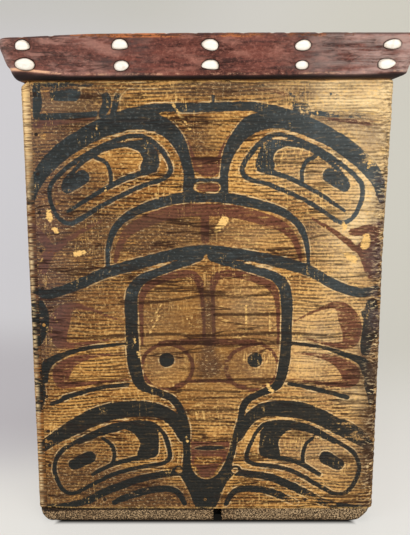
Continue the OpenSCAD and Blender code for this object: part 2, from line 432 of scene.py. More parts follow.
BLACK_STROKES = [
    # brow over both eyes, thick at the shoulders
    [(0, 472, 5), (-50, 471.5, 5), (-70, 466, 8), (-88, 458.5, 11), (-112, 450, 10.4),
     (-135, 439.5, 9.8), (-152, 429.5, 9.8), (-168, 416.5, 9.2), (-181, 401.5, 8.2), (-190, 386, 6.5),
     (-194, 370, 4)],
    # inner side of the eye socket, and the bridge between the sockets
    [(-96, 455, 8), (-70, 457.5, 9.5), (-47, 452, 9.5), (-31.5, 437, 7.6),
     (-23.5, 420, 5.8), (-19, 402, 5.2), (-18, 380, 6)],
    [(-13, 384, 11), (0, 384, 11)],
    # mouth arch
    [(0, 374, 5.2), (-25, 372.8, 5.8), (-53, 366.5, 5.5), (-78, 358.5, 4.9), (-95.5, 347, 4.1),
     (-105, 331.5, 3.6), (-109, 314.5, 2.8), (-110, 297, 2.2)],
    # jaw
    [(0, 317.5, 5.5), (-17, 314, 7), (-51, 306.3, 6.4), (-85, 297, 6.6), (-116.5, 287.5, 6.2),
     (-142.5, 276, 6), (-168.5, 266.6, 5.6), (-182, 264.5, 5.4), (-193, 269, 4)],
    # outline of the inner face: top, side bar, cheek, snout and chin
    [(-8, 309, 6.4), (-18, 303.5, 5.8), (-30, 298.5, 4.8), (-51, 290.5, 4.6), (-69, 283, 5.4),
     (-80, 272, 6.8), (-84, 255, 7.3), (-84.5, 225, 7.3), (-84, 198, 7.4), (-82, 178, 7.4),
     (-77, 159, 6.4), (-68, 151.5, 4.8), (-52.7, 145.5, 4.2), (-36.5, 136.3, 4.2), (-27.5, 119.3, 4.2),
     (-23.2, 100.6, 4.2), (-22.4, 75.4, 4.2), (-22, 56.4, 4.6), (-18, 44, 4.8), (-11, 36.5, 4.6),
     (0, 32.5, 4.4)],
    # lower ovoid
    [(-27, 90, 4.6), (-37, 112, 7.6), (-54.5, 123.5, 8.6), (-78, 127, 9.8), (-112, 123.5, 10.4),
     (-141.6, 111.5, 10.4), (-167, 97, 8.8), (-188.5, 83, 6.6), (-195, 74, 3)],
    # lower eye: arms of the crescent, divider and pupil
    [(-150, 84, 1.8), (-121, 97, 2.4), (-98, 104, 3)],
    [(-68, 67, 3.2), (-92.4, 62.7, 2.9), (-110.5, 56.4, 2.8), (-134, 44, 2.4)],
    [(-121.6, 90.5, 2), (-111.4, 82, 2.4), (-107.8, 69, 2.4), (-111, 56.4, 2)],
    [(-156, 57, 7), (-138, 66, 8)],
    # lines under the lower eye, and the small circle where they leave the snout
    [(-31.5, 49, 6.6), (-31, 49, 6.6)],
    [(-30, 47, 4.4), (-54, 44.2, 4.4), (-78, 38.8, 4.6), (-102, 29, 4.8), (-123, 19.4, 4.8),
     (-139, 10, 4.6), (-163, 4, 4), (-190, 2, 3)],
    [(-108.6, 8, 3.2), (-87, 17.8, 4.4), (-66, 24.3, 4.4), (-42, 25.5, 4), (-31, 19, 3.6), (-25, 7, 3)],
    # shapes between the inner face and the edge
    [(-190, 252, 6), (-191, 235, 8), (-190, 214, 5)],
    [(-187, 162, 3.5), (-187.5, 171, 5.2), (-184.5, 180, 5.8), (-176, 187, 4.4), (-163, 192.5, 3.2),
     (-135, 200.5, 2.3), (-92, 205.5, 1.8)],
    [(-166, 141, 2.8), (-127, 151.5, 2.6), (-90, 157, 2.2)],
    [(-193, 160, 4), (-190, 146, 3), (-192, 132, 2)],
    # upper eye: arms of the crescent, divider and pupil
    [(-157, 392, 1.8), (-138, 411, 2.2), (-113, 426, 2.4), (-90, 432, 3)],
    [(-56, 404.5, 3.2), (-86, 395.5, 2.8), (-105.6, 387, 2.5), (-128, 375, 2.4), (-154, 358, 2)],
    [(-121.5, 418, 2), (-110.5, 413, 2.3), (-105, 402, 2.3), (-105, 388, 2)],
    [(-153, 386, 7), (-136, 397, 8)],
    # worn shapes in the top corners
    [(-162, 486, 7.5), (-143, 486, 7.5)],
    [(-178, 462, 3.6), (-150, 463, 3.2), (-120, 465, 3)],
    [(-117, 494, 2.6), (-109, 486, 4), (-107, 477, 4.6), (-112, 465, 4.4)],
    [(-88, 492, 2), (-95, 485, 2.6), (-98, 474, 3.2), (-101, 462, 3.4)],
    [(-184, 493, 4), (-183, 476, 5), (-185, 462, 3)],
    [(-18, 495, 2), (-76, 495.5, 2.6), (-150, 496, 2.6), (-185, 495, 3)],
    [(0, 496, 1.8), (0, 486, 2.2), (0, 478, 1.6)],
]

BLACK_RINGS = [
    # outline of the upper eye, then of the lower eye, each with the half width of its line
    (2.5, [(-172.5, 383), (-167, 394), (-152, 408), (-127, 424), (-99, 436.5), (-79, 441.5), (-62.5, 437.8),
           (-49.6, 427), (-39.5, 411), (-39, 401), (-47, 393.5), (-67, 387.5), (-95, 376), (-123, 361),
           (-140, 350), (-152, 345), (-163, 350), (-171.5, 366)]),
    (2.6, [(-179, 59.6), (-169.5, 75), (-145, 89.8), (-115, 104.8), (-88.5, 110), (-65, 109), (-51.5, 99.6),
           (-43.5, 81.7), (-42.5, 64), (-54, 57.5), (-78, 54), (-107.7, 44.5), (-135, 30), (-156.5, 19.6),
           (-171, 24.5), (-179.6, 43.6)]),
]

BLACK_SHAPES = [
    # crescents of the upper and the lower eye, then the wedge under the snout
    [(-95, 431), (-85, 435), (-66, 435.5), (-53.5, 424), (-50.5, 409), (-58, 402), (-72, 405.5),
     (-69, 416), (-76, 425.5)],
    [(-101, 105), (-77, 108), (-58.5, 102.5), (-54.5, 88), (-57, 69), (-71.5, 65), (-80.4, 69.5),
     (-77, 84), (-85, 97)],
    [(-33, 50), (-20, 47), (-12, 36), (4, 31.5), (4, 0), (-11, 1), (-22, 29)],
]

# pupil of the inner face, and the red ring round it with its half width, middle and radii
EYE, EYE_RADIUS = (-45, 186), 8.6
EYE_RING = (2.2, -45, 177.5, 29, 27.2)

# left bare inside the black
RESERVED = [
    [(-7.5, 385, 6.4), (0, 385, 6.4)],
    [(-31.5, 49, 3.8), (-31, 49, 3.8)],
    [(-36, 302, 0.3), (-50, 297.5, 1.1), (-64, 293, 1.1), (-76, 288, 0.3)],
]

RED_STROKES = [
    # lining of the forehead and the small oval below it
    [(-50, 464, 1), (-34, 451.5, 1.8), (-21, 434, 2.2), (-14.5, 418, 2.4), (-11.5, 404, 2)],
    [(-7.5, 385, 4.6), (0, 385, 4.6)],
    # inside the mouth
    [(0, 360, 7), (-28, 358, 7.2), (-56, 351, 7), (-78, 342, 6.4), (-89, 333, 5), (-96, 320, 3.6),
     (-100.5, 303, 2.4)],
    [(0, 352, 4.5), (0, 328, 4.5)],
    # cheek
    [(-116, 349, 1.6), (-144, 333.6, 2.8), (-160, 323, 3.6), (-171, 316, 4), (-183, 328, 5),
     (-195, 341, 5)],
    [(-171, 316, 3.6), (-180, 306, 6), (-184, 292, 5)],
    # inside the inner face: paired arches, long lines, brow, eye line and nose
    [(-73, 205, 1.6), (-73, 246, 2.8), (-71, 262, 4.2), (-62, 275, 5), (-46, 282.5, 4.8),
     (-30, 287, 4.4), (-16, 287, 4.4), (-8, 279, 4), (-5.6, 262, 2.1), (-4.8, 238, 1.7),
     (-4.8, 210, 1.5)],
    [(0, 207.5, 4.2), (-25, 207.5, 3.4), (-52, 207, 2.4)],
    [(0, 161, 2.2), (-20, 160, 2), (-36, 155, 1.6)],
    [(-30, 121, 1.2), (-20.5, 100, 1.8), (-17, 78, 1.8), (-15.5, 58, 1.8)],
    # forms at the sides
    [(-94, 231, 1), (-130, 246, 2), (-154, 249, 5.4), (-166, 234, 11.5), (-169, 213, 9.5),
     (-158, 203, 4), (-108, 211, 1)],
    [(-95, 194, 1), (-130, 191, 2.6), (-154, 184, 6), (-167, 172, 10), (-168, 161, 8), (-158, 157, 4),
     (-135, 158, 2.2), (-90, 163, 1)],
    # top corners
    [(-96, 482, 2), (-70, 489, 2), (-40, 489, 1.5)],
    [(-186, 453, 3), (-150, 461, 6), (-124, 462, 4)],
]

RED_SHAPES = [
    # foot of the forehead, nose and lower lip
    [(-13.5, 419), (3, 417), (3, 396.5), (-7, 397.5), (-10.5, 401)],
    [(-17, 86), (3, 85), (3, 67), (-16, 66)],
    [(-13, 57.5), (3, 56), (3, 39), (-7, 41)],
]

NOSTRIL = [[(-13, 77, 1), (-7, 77.3, 2.2), (0, 77.3, 2.6)]]

# Only on one side. Right: the brow run down beside the bend, worn patches and the end of the lower ovoid;
# left: the half oval that runs over the pegged corner, and worn patches below it
ONE_SIDE_BLACK = [
    [(158, 426, 6), (170, 413, 6.5), (180, 402, 6), (188, 393, 6), (192, 383, 5), (189.5, 376, 3)],
    [(176, 403, 3), (187, 391, 5)],
    [(180, 242, 3), (187, 234, 7), (187.5, 222, 8), (184, 206, 6), (184, 196, 5)],
    [(196.5, 232, 4), (196, 215, 3)],
    [(182, 182, 5), (185, 171, 5)],
    [(191, 166, 5), (188, 155, 4.5), (193, 141, 4)],
    [(150, 110, 7), (164, 105, 7.5), (174, 99.5, 6.5), (183, 94, 5.5), (191, 84, 3)],
    [(-196, 255, 5), (-191, 246, 9.5), (-190, 236, 11), (-191, 226, 10.5), (-194, 212, 7),
     (-196, 203, 4)],
    [(-197.5, 197, 3), (-195.5, 191, 3)],
    [(-195, 160, 5), (-192, 150, 5), (-193, 137, 5), (-197, 125, 4)],
    [(-181, 133, 2.2), (-168, 137.5, 2.5), (-159, 143, 2.6)],
]
# the right cheek spread to the edge
ONE_SIDE_RED = [
    [(165, 334, 4), (179, 336, 6), (196, 341, 6)],
    [(184, 330, 7), (190, 312, 8), (190, 296, 6), (185.5, 284, 3)],
]

# Reach of the hand's slow drift and of its quiver, and the bare line it left between black and red
DRIFT, QUIVER, PAINT_GAP = 0.9, 0.45, 0.8

# How the hand strayed from a mirrored drawing: at x, z within a reach in x and in z, moved by x, z
STRAY = [
    (62, 195, 55, 95, 13.5, 0), (34, 112, 24, 26, 10, 0), (24, 80, 16, 20, 4, 0),
    (100, 75, 75, 40, 8, 0), (104, 312, 48, 78, 6, 1), (4, 318, 34, 15, 1, -3),
    (160, 250, 26, 40, -3, 0), (5, 388, 16, 22, 5, 0), (66, 418, 26, 26, 6, 0), (6, 486, 30, 40, 9, 0),
]

# Patches as (x, z, reach in x, reach in z, amount), on the whole front
WASH_PATCHES = [
    (-172, 315, 50, 75, 1.3), (-186, 400, 22, 60, 1), (-178, 462, 44, 40, 1.1),
    (-130, 470, 40, 24, 0.7), (-150, 10, 70, 22, 1), (-60, 12, 80, 16, 0.9), (5, 240, 8, 36, 1),
    (3, 180, 18, 24, 0.75), (40, 170, 24, 30, 0.3), (60, 492, 110, 11, 0.6), (-60, 334, 70, 24, 1),
    (-182, 220, 16, 60, 0.9), (-130, 395, 34, 26, 0.35), (-110, 75, 70, 40, 0.1),
    (-60, 210, 50, 70, 0.16), (-5, 440, 24, 32, 0.6), (190, 130, 16, 60, 0.5), (-60, 250, 60, 50, 0.3),
    (182, 28, 24, 34, 0.4), (118, 335, 14, 16, 0.6), (184, 318, 18, 34, 1.1), (182, 436, 20, 18, 0.9),
    # the patch at -150, 50 darkens the lower left corner as painted shade
    (2, 76, 20, 8, 0.6), (2, 47, 12, 8, 0.5), (-150, 50, 60, 50, 0.45), (-105, 36, 60, 13, 0.9),
    (12, 490, 46, 8, 0.7), (-196, 270, 10, 120, 0.9), (190, 70, 14, 60, 0.45), (186, 180, 16, 40, 0.7),
    (150, 457, 48, 13, 1.1), (112, 484, 26, 9, 0.7), (190, 225, 12, 50, 0.7),
]
WEAR_PATCHES = [
    (60, 497, 190, 12, 0.6), (170, 484, 44, 22, 0.85), (186, 440, 16, 40, 0.5), (168, 102, 24, 16, 0.3),
    (-150, 380, 14, 8, 0.3), (-60, 495, 120, 10, 0.55), (200, 250, 7, 280, 0.5),
    (-192, 250, 8, 280, 0.4), (120, 12, 80, 16, 0.5), (-70, 18, 50, 14, 0.35), (-160, 14, 30, 18, 0.3),
    (182, 420, 16, 13, 0.5), (100, 482, 20, 20, 0.45), (150, 464, 44, 9, 0.36),
    (-152, 396, 12, 8, 0.35), (186, 88, 16, 14, 0.35), (-60, 480, 60, 12, 0.3),
    (150, 225, 50, 70, 0.25), (-185, 90, 16, 30, 0.3), (22, 178, 18, 24, 0.3), (100, 70, 90, 60, 0.12),
    (40, 330, 60, 20, 0.35),
]
# paler patches, most on the upper right: bleached wood with painted light
BRIGHT_PATCHES = [
    (168, 478, 66, 40, 1.4), (190, 385, 28, 70, 0.9), (162, 325, 34, 40, 0.8), (165, 225, 40, 70, 0.4),
    (60, 330, 60, 20, 0.18), (60, 492, 130, 8, 0.25), (-70, 215, 40, 40, 0.1), (50, 250, 40, 40, 0.2),
    (140, 75, 70, 50, 0.3), (-150, 474, 40, 8, 0.4), (-196, 470, 7, 60, 0.6), (20, 130, 30, 40, 0.1),
    (-45, 177, 25, 23, 0.12), (60, 177, 24, 23, 0.15), (120, 200, 30, 50, 0.45),
    (120, 400, 60, 30, 0.4), (180, 140, 24, 18, 0.6), (190, 165, 14, 26, 0.4),
]
# Where oil and hands have filled the grain
SMOOTH_PATCHES = [
    (0, 236, 74, 52, 1.1), (0, 180, 78, 34, 0.9), (0, 135, 34, 30, 0.4), (0, 335, 90, 22, 0.5),
    (0, 440, 30, 34, 0.3), (-150, 480, 50, 24, 0.5),
]
# Bright chips and scratches, as strokes
CHIPS = [
    [(-175, 358, 2.6), (-174, 351, 3.4)], [(-170, 340, 2), (-167, 336, 2.6)],
    [(13, 337, 3), (17, 342, 3.4), (22, 348, 4.6)], [(-20, 345, 1.2), (-17, 341, 0.8)],
    [(-146, 311, 3), (-136, 313, 2.2)], [(180, 328, 4), (179, 319, 4.4)],
    [(-38, 481, 0.9), (-28, 464, 1), (-16, 447, 0.9)], [(73, 157, 1.4), (75, 152, 2.2), (79, 148, 1.4)],
    [(179, 414, 1.4), (178, 405, 1)], [(-118, 456, 0.6), (-119, 448, 0.4)],
    [(92, 455, 0.4), (93, 447, 0.5)], [(-62, 232, 0.3), (-50, 252, 0.4)],
    [(-66, 214, 0.2), (-50, 244, 0.4)], [(-15, 226, 0.2), (-30, 250, 0.2)],
    [(47, 250, 0.7), (48, 218, 0.8)], [(74, 242, 0.5), (75, 220, 0.6)],
    [(-78, 196, 1), (-75, 188, 0.8)], [(135, 340, 0.2), (160, 306, 0.3)],
    [(-22, 92, 0.8), (-21, 84, 0.6)], [(-82, 214, 0.8), (-80, 205, 0.5)],
    [(-110, 385, 0.6), (-112, 378, 0.4)], [(-186, 302, 1), (-184, 306, 0.6)],
    [(120, 474, 0.4), (123, 462, 0.3)], [(155, 345, 1.6), (157, 338, 2.2)],
    [(160, 309, 3), (168, 303, 3.6)], [(12, 130, 0.5), (20, 100, 0.4)],
]

# Drying cracks that run across the front
CRACKS = [
    [(-57, 270, 1.1), (-6, 272, 0.8)], [(23, 271, 0.8), (74, 272, 1.1)],
    [(11, 240, 1.4), (86, 240, 1.1)],
    [(-97, 256, 1.1), (-66, 254, 1.4), (-29, 258, 1.1), (-3, 262, 1.4), (40, 261, 1), (74, 264, 1.4)],
    [(-176, 211, 0.8), (-98, 215, 1.3), (-40, 217, 1.4), (-3, 215, 1.1), (87, 218, 1.4), (140, 215, 1)],
    [(-75, 203, 1), (-12, 206, 1.4), (23, 203, 1.1), (87, 206, 1.3), (127, 202, 0.8)],
    [(-12, 161, 1), (76, 162, 1.3), (129, 155, 0.8)], [(-38, 150, 0.8), (41, 147, 1)],
    [(-29, 138, 1), (47, 141, 0.8)], [(-23, 125, 1), (38, 125, 1)], [(-21, 113, 0.8), (35, 110, 1)],
    [(140, 158, 0.9), (200, 152, 1.1)], [(140, 148, 0.9), (203, 141, 1.1)],
    [(145, 138, 0.9), (203, 131, 1)], [(150, 128, 0.9), (204, 122, 1)],
    [(160, 120, 0.9), (204, 115, 1)], [(-150, 372, 0.8), (-110, 374, 1), (-60, 371, 0.6)],
    [(60, 414, 0.8), (110, 411, 1), (150, 413, 0.8)],
]


def curve(points, steps=7, closed=False):
    """Places along a smooth curve through the points."""
    p = np.array(points, float)
    if closed:
        around = np.vstack([p[-1], p, p[0], p[1]])
    else:
        around = np.vstack([2 * p[0] - p[1], p, 2 * p[-1] - p[-2]])
    t = np.linspace(0, 1, steps, endpoint=False)[:, None]
    out = []
    for a, b, c, d in zip(around, around[1:], around[2:], around[3:]):
        square, cube = 2 * a - 5 * b + 4 * c - d, 3 * b - a - 3 * c + d
        out.append(0.5 * (2 * b + (c - a) * t + square * t**2 + cube * t**3))
    if not closed:
        out.append(p[-1:])
    return np.vstack(out)


# Distances are measured up to FAR, and only this near to a line
FAR = 60.0
NEAR = 14.0
TINY = 1e-9


def near(q, line):
    """Which places lie close to the box round a line."""
    low, high = line[:, :2].min(0) - NEAR, line[:, :2].max(0) + NEAR
    return np.all((q >= low) & (q <= high), 1)


def to_segments(q, starts, ends):
    """For each segment in turn, every place's distance to it and share along it, and its two ends."""
    for a, b in zip(starts, ends):
        run = b[:2] - a[:2]
        t = np.clip((q - a[:2]) @ run / max(run @ run, TINY), 0, 1)
        gap = q - a[:2] - t[:, None] * run
        yield np.hypot(gap[:, 0], gap[:, 1]), t, a, b


def stroke_distance(q, points):
    """Signed distance to a stroke of changing width."""
    line = curve(points)
    out = np.full(len(q), FAR)
    chosen = near(q, line)
    best = out[chosen]
    for gap, t, a, b in to_segments(q[chosen], line, line[1:]):
        best = np.minimum(best, gap - a[2] - (b[2] - a[2]) * t)
    out[chosen] = best
    return out


def shape_distance(q, line):
    """Signed distance to a closed line, negative inside."""
    out = np.full(len(q), FAR)
    chosen = near(q, line)
    best, (x, z) = out[chosen], q[chosen].T
    inside = np.zeros(len(best), bool)
    for gap, _, a, b in to_segments(q[chosen], line, np.roll(line, -1, 0)):
        best = np.minimum(best, gap)
        straddles = (a[1] > z) != (b[1] > z)
        rise = b[1] - a[1] if abs(b[1] - a[1]) > TINY else TINY
        inside ^= straddles & (x < a[0] + (b[0] - a[0]) * (z - a[1]) / rise)
    out[chosen] = np.where(inside, -best, best)
    return out


def nearest(distances):
    """The least of several distances at each place."""
    return functools.reduce(np.minimum, distances)


def strokes_distance(q, strokes):
    """Signed distance to the nearest of several strokes."""
    return nearest(stroke_distance(q, points) for points in strokes)


def bump(x, z, middle_x, middle_z, reach_x, reach_z):
    """1 at a place on the front, falling away round it."""
    return np.exp(-(((x - middle_x) / reach_x) ** 2) - ((z - middle_z) / reach_z) ** 2)


def painting(x, z):
    """Signed distances to the black and the red, in millimetres, at places on the front."""
    front = np.stack([x, z], 1)
    # the hand drifts, quivers and strays, so that the two halves differ
    drift = np.stack([ripple(11, (x, 160), (z, 190)), ripple(12, (x, 170), (z, 150))], 1)
    quiver = np.stack([ripple(13, (x, 34), (z, 40)), ripple(14, (x, 36), (z, 33))], 1)
    one_side = front + QUIVER * quiver
    hand = front + DRIFT * drift + QUIVER * quiver
    for *spot, dx, dz in STRAY:
        hand = hand - bump(x, z, *spot)[:, None] * (dx, dz)
    q = np.stack([-np.abs(hand[:, 0]), hand[:, 1]], 1)

    def curved(points):
        return shape_distance(q, curve(points, closed=True))

    def round_middle(cx, cz, rx, rz):
        return np.hypot((q[:, 0] - cx) / rx, (q[:, 1] - cz) / rz)

    black = nearest([
        strokes_distance(q, BLACK_STROKES),
        *(np.abs(curved(points)) - half for half, points in BLACK_RINGS),
        *(curved(points) for points in BLACK_SHAPES),
    ])
    black = np.maximum(black, -strokes_distance(q, RESERVED))
    black = nearest([
        black,
        round_middle(*EYE, 1, 1) - EYE_RADIUS,
        strokes_distance(q, NOSTRIL),
        strokes_distance(one_side, ONE_SIDE_BLACK),
    ])
    half, *ring = EYE_RING
    red = nearest([
        strokes_distance(q, RED_STROKES),
        strokes_distance(one_side, ONE_SIDE_RED),
        np.abs((round_middle(*ring) - 1) * ring[2]) - half,
        *(shape_distance(q, np.array(points, float)) for points in RED_SHAPES),
    ])
    return black, np.maximum(red, PAINT_GAP - black)


def patches(x, z, table):
    """How much of a patchwork lies on each place, from 0 to 1."""
    total = np.zeros(len(x))
    for *spot, amount in table:
        total += amount * bump(x, z, *spot)
    return np.clip(total, 0, 1)


# Pieces


def tilt(x):
    """How much higher the rim and the lid stand towards the right, where the box is out of square."""
    return 0.3 + 2.5 * np.clip((x + HALF_W) / (2 * HALF_W), 0, 1.1)


def plank_loop(s):
    """Section of the bent plank as one closed line, with the run along the plank, the depth below its
    outside and how far a point is on end grain."""
    thick, bend, ease = s.thickness / MM, s.bend_radius / MM, s.pegged_radius / MM
    gap, fine, coarse = s.joint_gap / MM, s.front_step / MM, s.side_step / MM
    w, d = HALF_W, HALF_D
    inner_w, inner_d = w - thick, d - thick
    lip_x = -w + s.lip / MM
    front_x = lip_x + gap
    joint_y = -d + thick + gap
    # steps round the corners and lengths of step in the joint, then how far from its corners the mesh of
    # the joint, of the inside beside the joint, and of the inside beside a kerf starts
    front_steps, back_steps, eased_steps = 9, 8, 4
    lip_step, end_step, joint_step = 2.0, 4, 6
    arris, shoulder, clear = 1.5, 4, 6
    rows = []

    def add(x, y, along, below=0.0, end=0.0):
        rows.append((x, y, along, below, end))

    def straight(a, b, step, along_a, along_b, below=0.0, end=0.0):
        count = max(1, round(math.dist(a, b) / step))
        for k in range(count + 1):
            x, y, along = (p + (q - p) * (k / count) for p, q in zip((*a, along_a), (*b, along_b)))
            add(x, y, along, below, end)

    def corner(middle, radius, start, along, steps, end=0.0):
        """A quarter circle between its two ends; returns the run at the further one."""
        quarter = radius * math.radians(90)
        for k in range(1, steps):
            a = math.radians(start + 90 * k / steps)
            x, y = middle[0] + radius * math.cos(a), middle[1] + radius * math.sin(a)
            add(x, y, along + quarter * k / steps, 0.0, end)
        return along + quarter

    # outside, from the front's end at the joint round to the lip
    straight((front_x, -d), (w - bend, -d), fine, front_x, w - bend)
    at = corner((w - bend, -d + bend), bend, -90, w - bend, front_steps)
    straight((w, -d + bend), (w, d - bend), coarse, at, at + 2 * (d - bend))
    at = corner((w - bend, d - bend), bend, 0, at + 2 * (d - bend), back_steps)
    straight((w - bend, d), (-w + bend, d), coarse, at, at + 2 * (w - bend))
    at = corner((-w + bend, d - bend), bend, 90, at + 2 * (w - bend), back_steps)
    end_run = at + 2 * d - bend - ease
    straight((-w, d - bend), (-w, -d + ease), coarse, at, end_run)
    corner((-w + ease, -d + ease), ease, 180, end_run, eased_steps, end=0.6)
    lip_run, last_run = end_run + 4, end_run + 5
    straight((-w + ease, -d), (lip_x, -d), lip_step, lip_run, last_run, end=1.0)
    # into the joint, along its shoulder to the inside corner
    straight((lip_x, -d + arris), (lip_x, joint_y), joint_step, last_run, last_run, below=4.0, end=1.0)
    straight((lip_x + 2, joint_y), (-inner_w, joint_y), end_step, last_run, lip_run, thick, end=1.0)
    # inside, back round to the front; each bent corner has its closed kerf
    reach = (thick - bend) * math.sqrt(2) + bend - s.kerf_skin / MM
    off = s.kerf / MM / math.sqrt(2)

    def slit(corner_x, corner_y, first, second, along):
        out_x = math.copysign(1, corner_x) / math.sqrt(2)
        out_y = math.copysign(1, corner_y) / math.sqrt(2)
        add(*first, along, thick)
        for p, far in ((first, reach * 0.5), (first, reach), (second, reach), (second, reach * 0.5)):
            add(p[0] + out_x * far, p[1] + out_y * far, along, thick)
        add(*second, along, thick)

    left_run = end_run - 2 * d
    back_run = left_run - 2 * w
    wall, foot = inner_d - clear, inner_d - gap - shoulder
    straight((-inner_w, -foot), (-inner_w, wall), coarse, end_run - thick, left_run + thick, thick)
    slit(-inner_w, inner_d, (-inner_w, inner_d - off), (-inner_w + off, inner_d), left_run)
    back = inner_w - clear
    straight((-back, inner_d), (back, inner_d), coarse, left_run - thick, back_run + thick, thick)
    slit(inner_w, inner_d, (inner_w - off, inner_d), (inner_w, inner_d - off), back_run)
    straight((inner_w, wall), (inner_w, -wall), coarse, back_run - thick, w + thick, thick)
    slit(inner_w, -inner_d, (inner_w, -inner_d + off), (inner_w - off, -inner_d), w)
    last = -inner_w + shoulder
    straight((back, -inner_d), (last, -inner_d), coarse, w - thick, -w + thick, thick)
    # the front's own end, back out to the outside
    straight((-inner_w, -inner_d), (front_x, -inner_d), end_step, -w + thick, front_x, thick, end=1.0)
    straight((front_x, -inner_d - 5), (front_x, -d + arris), joint_step, front_x, front_x, 5.0, end=1.0)
    table = np.array(rows)
    return table[:, :2], *table[:, 2:].T


def unit(vectors):
    """The vectors at length 1."""
    return vectors / np.maximum(np.linalg.norm(vectors, axis=1, keepdims=True), TINY)


def loop_normals(loop):
    """Outward directions of a closed anticlockwise line."""
    after = unit(np.roll(loop, -1, 0) - loop)
    mean = unit(after + np.roll(after, 1, 0))
    return np.stack([mean[:, 1], -mean[:, 0]], 1)


def plank_rows(s):
    """Heights of the mesh's rows, and how far each is worn back towards the seam and the rim."""
    from_seam = {0: 0.9, 0.6: 0.3, 2: 0}
    from_rim = {2: 0.2, 0.6: 0.9, 0: 2.2}
    count = int(round((SIDE_H - 4) / (s.row_step / MM)))
    rows = np.linspace(4.5, SIDE_H - 4.5, count - 1)
    heights = np.concatenate([list(from_seam), rows, SIDE_H - np.array(list(from_rim))])
    worn = np.concatenate([list(from_seam.values()), np.zeros(len(rows)), list(from_rim.values())])
    return heights, worn


def plank_push(s, x, y, z, along, outside, grain):
    """How far wood movement, gouged grain and crinkled bends stand out; none over a peg."""
    push = 0.3 * ripple(3, (along, 220), (z, 160)) + 0.16 * ripple(4, (along, 90), (z, 9))
    front_bend = HALF_W - s.bend_radius / MM / 2
    crinkle = ripple(5, (along, 26), (z, 7)) + 0.6 * ripple(6, (along, 12), (z, 5))
    push = push + np.exp(-(((along - front_bend) / 11) ** 2)) * crinkle * 0.8
    push = push + 0.35 * grain * ripple(7, (along, 30), (z, 11))
    push = np.where(outside, push, 0.25 * np.where(grain > 0, 0, ripple(8, (along, 120), (z, 60))))
    corner_pegs_x, bottom_pegs_z = 14.5 - HALF_W, 12
    by_peg = (np.abs(x - corner_pegs_x) < 5) & (y < 0) | (np.abs(z - bottom_pegs_z) < 4)
    return np.where(outside & by_peg, np.minimum(push, 0) - 0.1, push)


def cap_faces(loop, bottom, top):
    """Triangles over the two ends of a tube whose section is the loop."""
    faces = []
    for a, b, c in tessellate_polygon([[Vector((*p, 0)) for p in loop]]):
        (to_b_x, to_b_y), (to_c_x, to_c_y) = loop[b] - loop[a], loop[c] - loop[a]
        area = to_b_x * to_c_y - to_b_y * to_c_x
        if abs(area) < TINY:
            continue
        if area < 0:
            a, c = c, a
        faces.append(top[[a, b, c]].tolist())
        faces.append(bottom[[c, b, a]].tolist())
    return faces


def build_sides(s, finish):
    """The bent plank, with its painting kept on the points of the front."""
    loop, run, depth, grain = plank_loop(s)
    normals = loop_normals(loop)
    heights, worn = plank_rows(s)
    outside = depth == 0
    x, y, along, z = np.broadcast_arrays(loop[:, 0], loop[:, 1], run, heights[:, None])
    # arrises worn back, most of all at the rim's corners
    push = plank_push(s, x, y, z, along, outside, grain)
    move = push - worn[:, None] * (1 + 0.5 * ripple(9, (along, 60)))
    # the box is slightly out of square: wider at the front right, most of all at the top
    lean = 3.2 + 3.2 * eased(z, SIDE_H * 0.6, SIDE_H)
    lean = lean * eased(x, 150, HALF_W) * eased(-y, -HALF_D, HALF_D)
    # the left corner is knocked down at the rim, and lifts off the board a little at the foot
    knocked = eased(-x, HALF_W - 9, HALF_W) * eased(z, SIDE_H - 14, SIDE_H) * (y < -HALF_D + 12)
    lifted = (1 - eased(x, -HALF_W + 4, -HALF_W + 44)) * (y < -HALF_D + 8) * (1 - eased(z, 0, 6))
    rise = -4.0 * knocked + 1.7 * lifted + tilt(x) * z / SIDE_H
    px, py = x + normals[:, 0] * move + lean, y + normals[:, 1] * move
    points = np.stack([px, py, z + SEAM_Z + rise], -1).reshape(-1, 3)
    faces, index = loft_faces(*z.shape)
    # what the finish reads: the painting and its wear on the front and the lip, and plain wood elsewhere
    lip = (grain > 0) & (loop[:, 1] < -HALF_D + 1)
    shown = np.broadcast_to(outside & (run < HALF_W + 5) | lip, z.shape)
    spots = np.stack([np.where(lip, x, along)[shown], z[shown]], 1)
    black, red = painting(*spots.T)

    def on_front(values, elsewhere):
        field = np.full(z.shape, elsewhere)
        field[shown] = values
        return field

    bends = (HALF_W - 5, HALF_W + 2 * HALF_D - 9, 3 * HALF_W + 2 * HALF_D - 13)
    piece = mesh_piece(
        "plank_sides",
        points,
        faces + cap_faces(loop, index[0], index[-1]),
        fields={
            "black": on_front(black, FAR),
            "red": on_front(red, FAR),
            "chip": on_front(strokes_distance(spots, CHIPS), FAR),
            "crack": on_front(strokes_distance(spots, CRACKS), FAR),
            "wash": on_front(patches(*spots.T, WASH_PATCHES), 0.0),
            "wear": on_front(patches(*spots.T, WEAR_PATCHES), 0.0),
            "bright": on_front(patches(*spots.T, BRIGHT_PATCHES), 0.25),
            "smooth": on_front(patches(*spots.T, SMOOTH_PATCHES), 0.0),
            "edge": np.minimum(z, SIDE_H - z),
            "end_grain": np.broadcast_to(grain, z.shape),
            "bend": outside * np.max([np.exp(-(((along - turn) / 10) ** 2)) for turn in bends], 0),
        },
        places={"plank": np.stack([along, np.broadcast_to(depth, z.shape), z], -1)},
    )
    hand_over(piece, "box", finish, "box_sides")


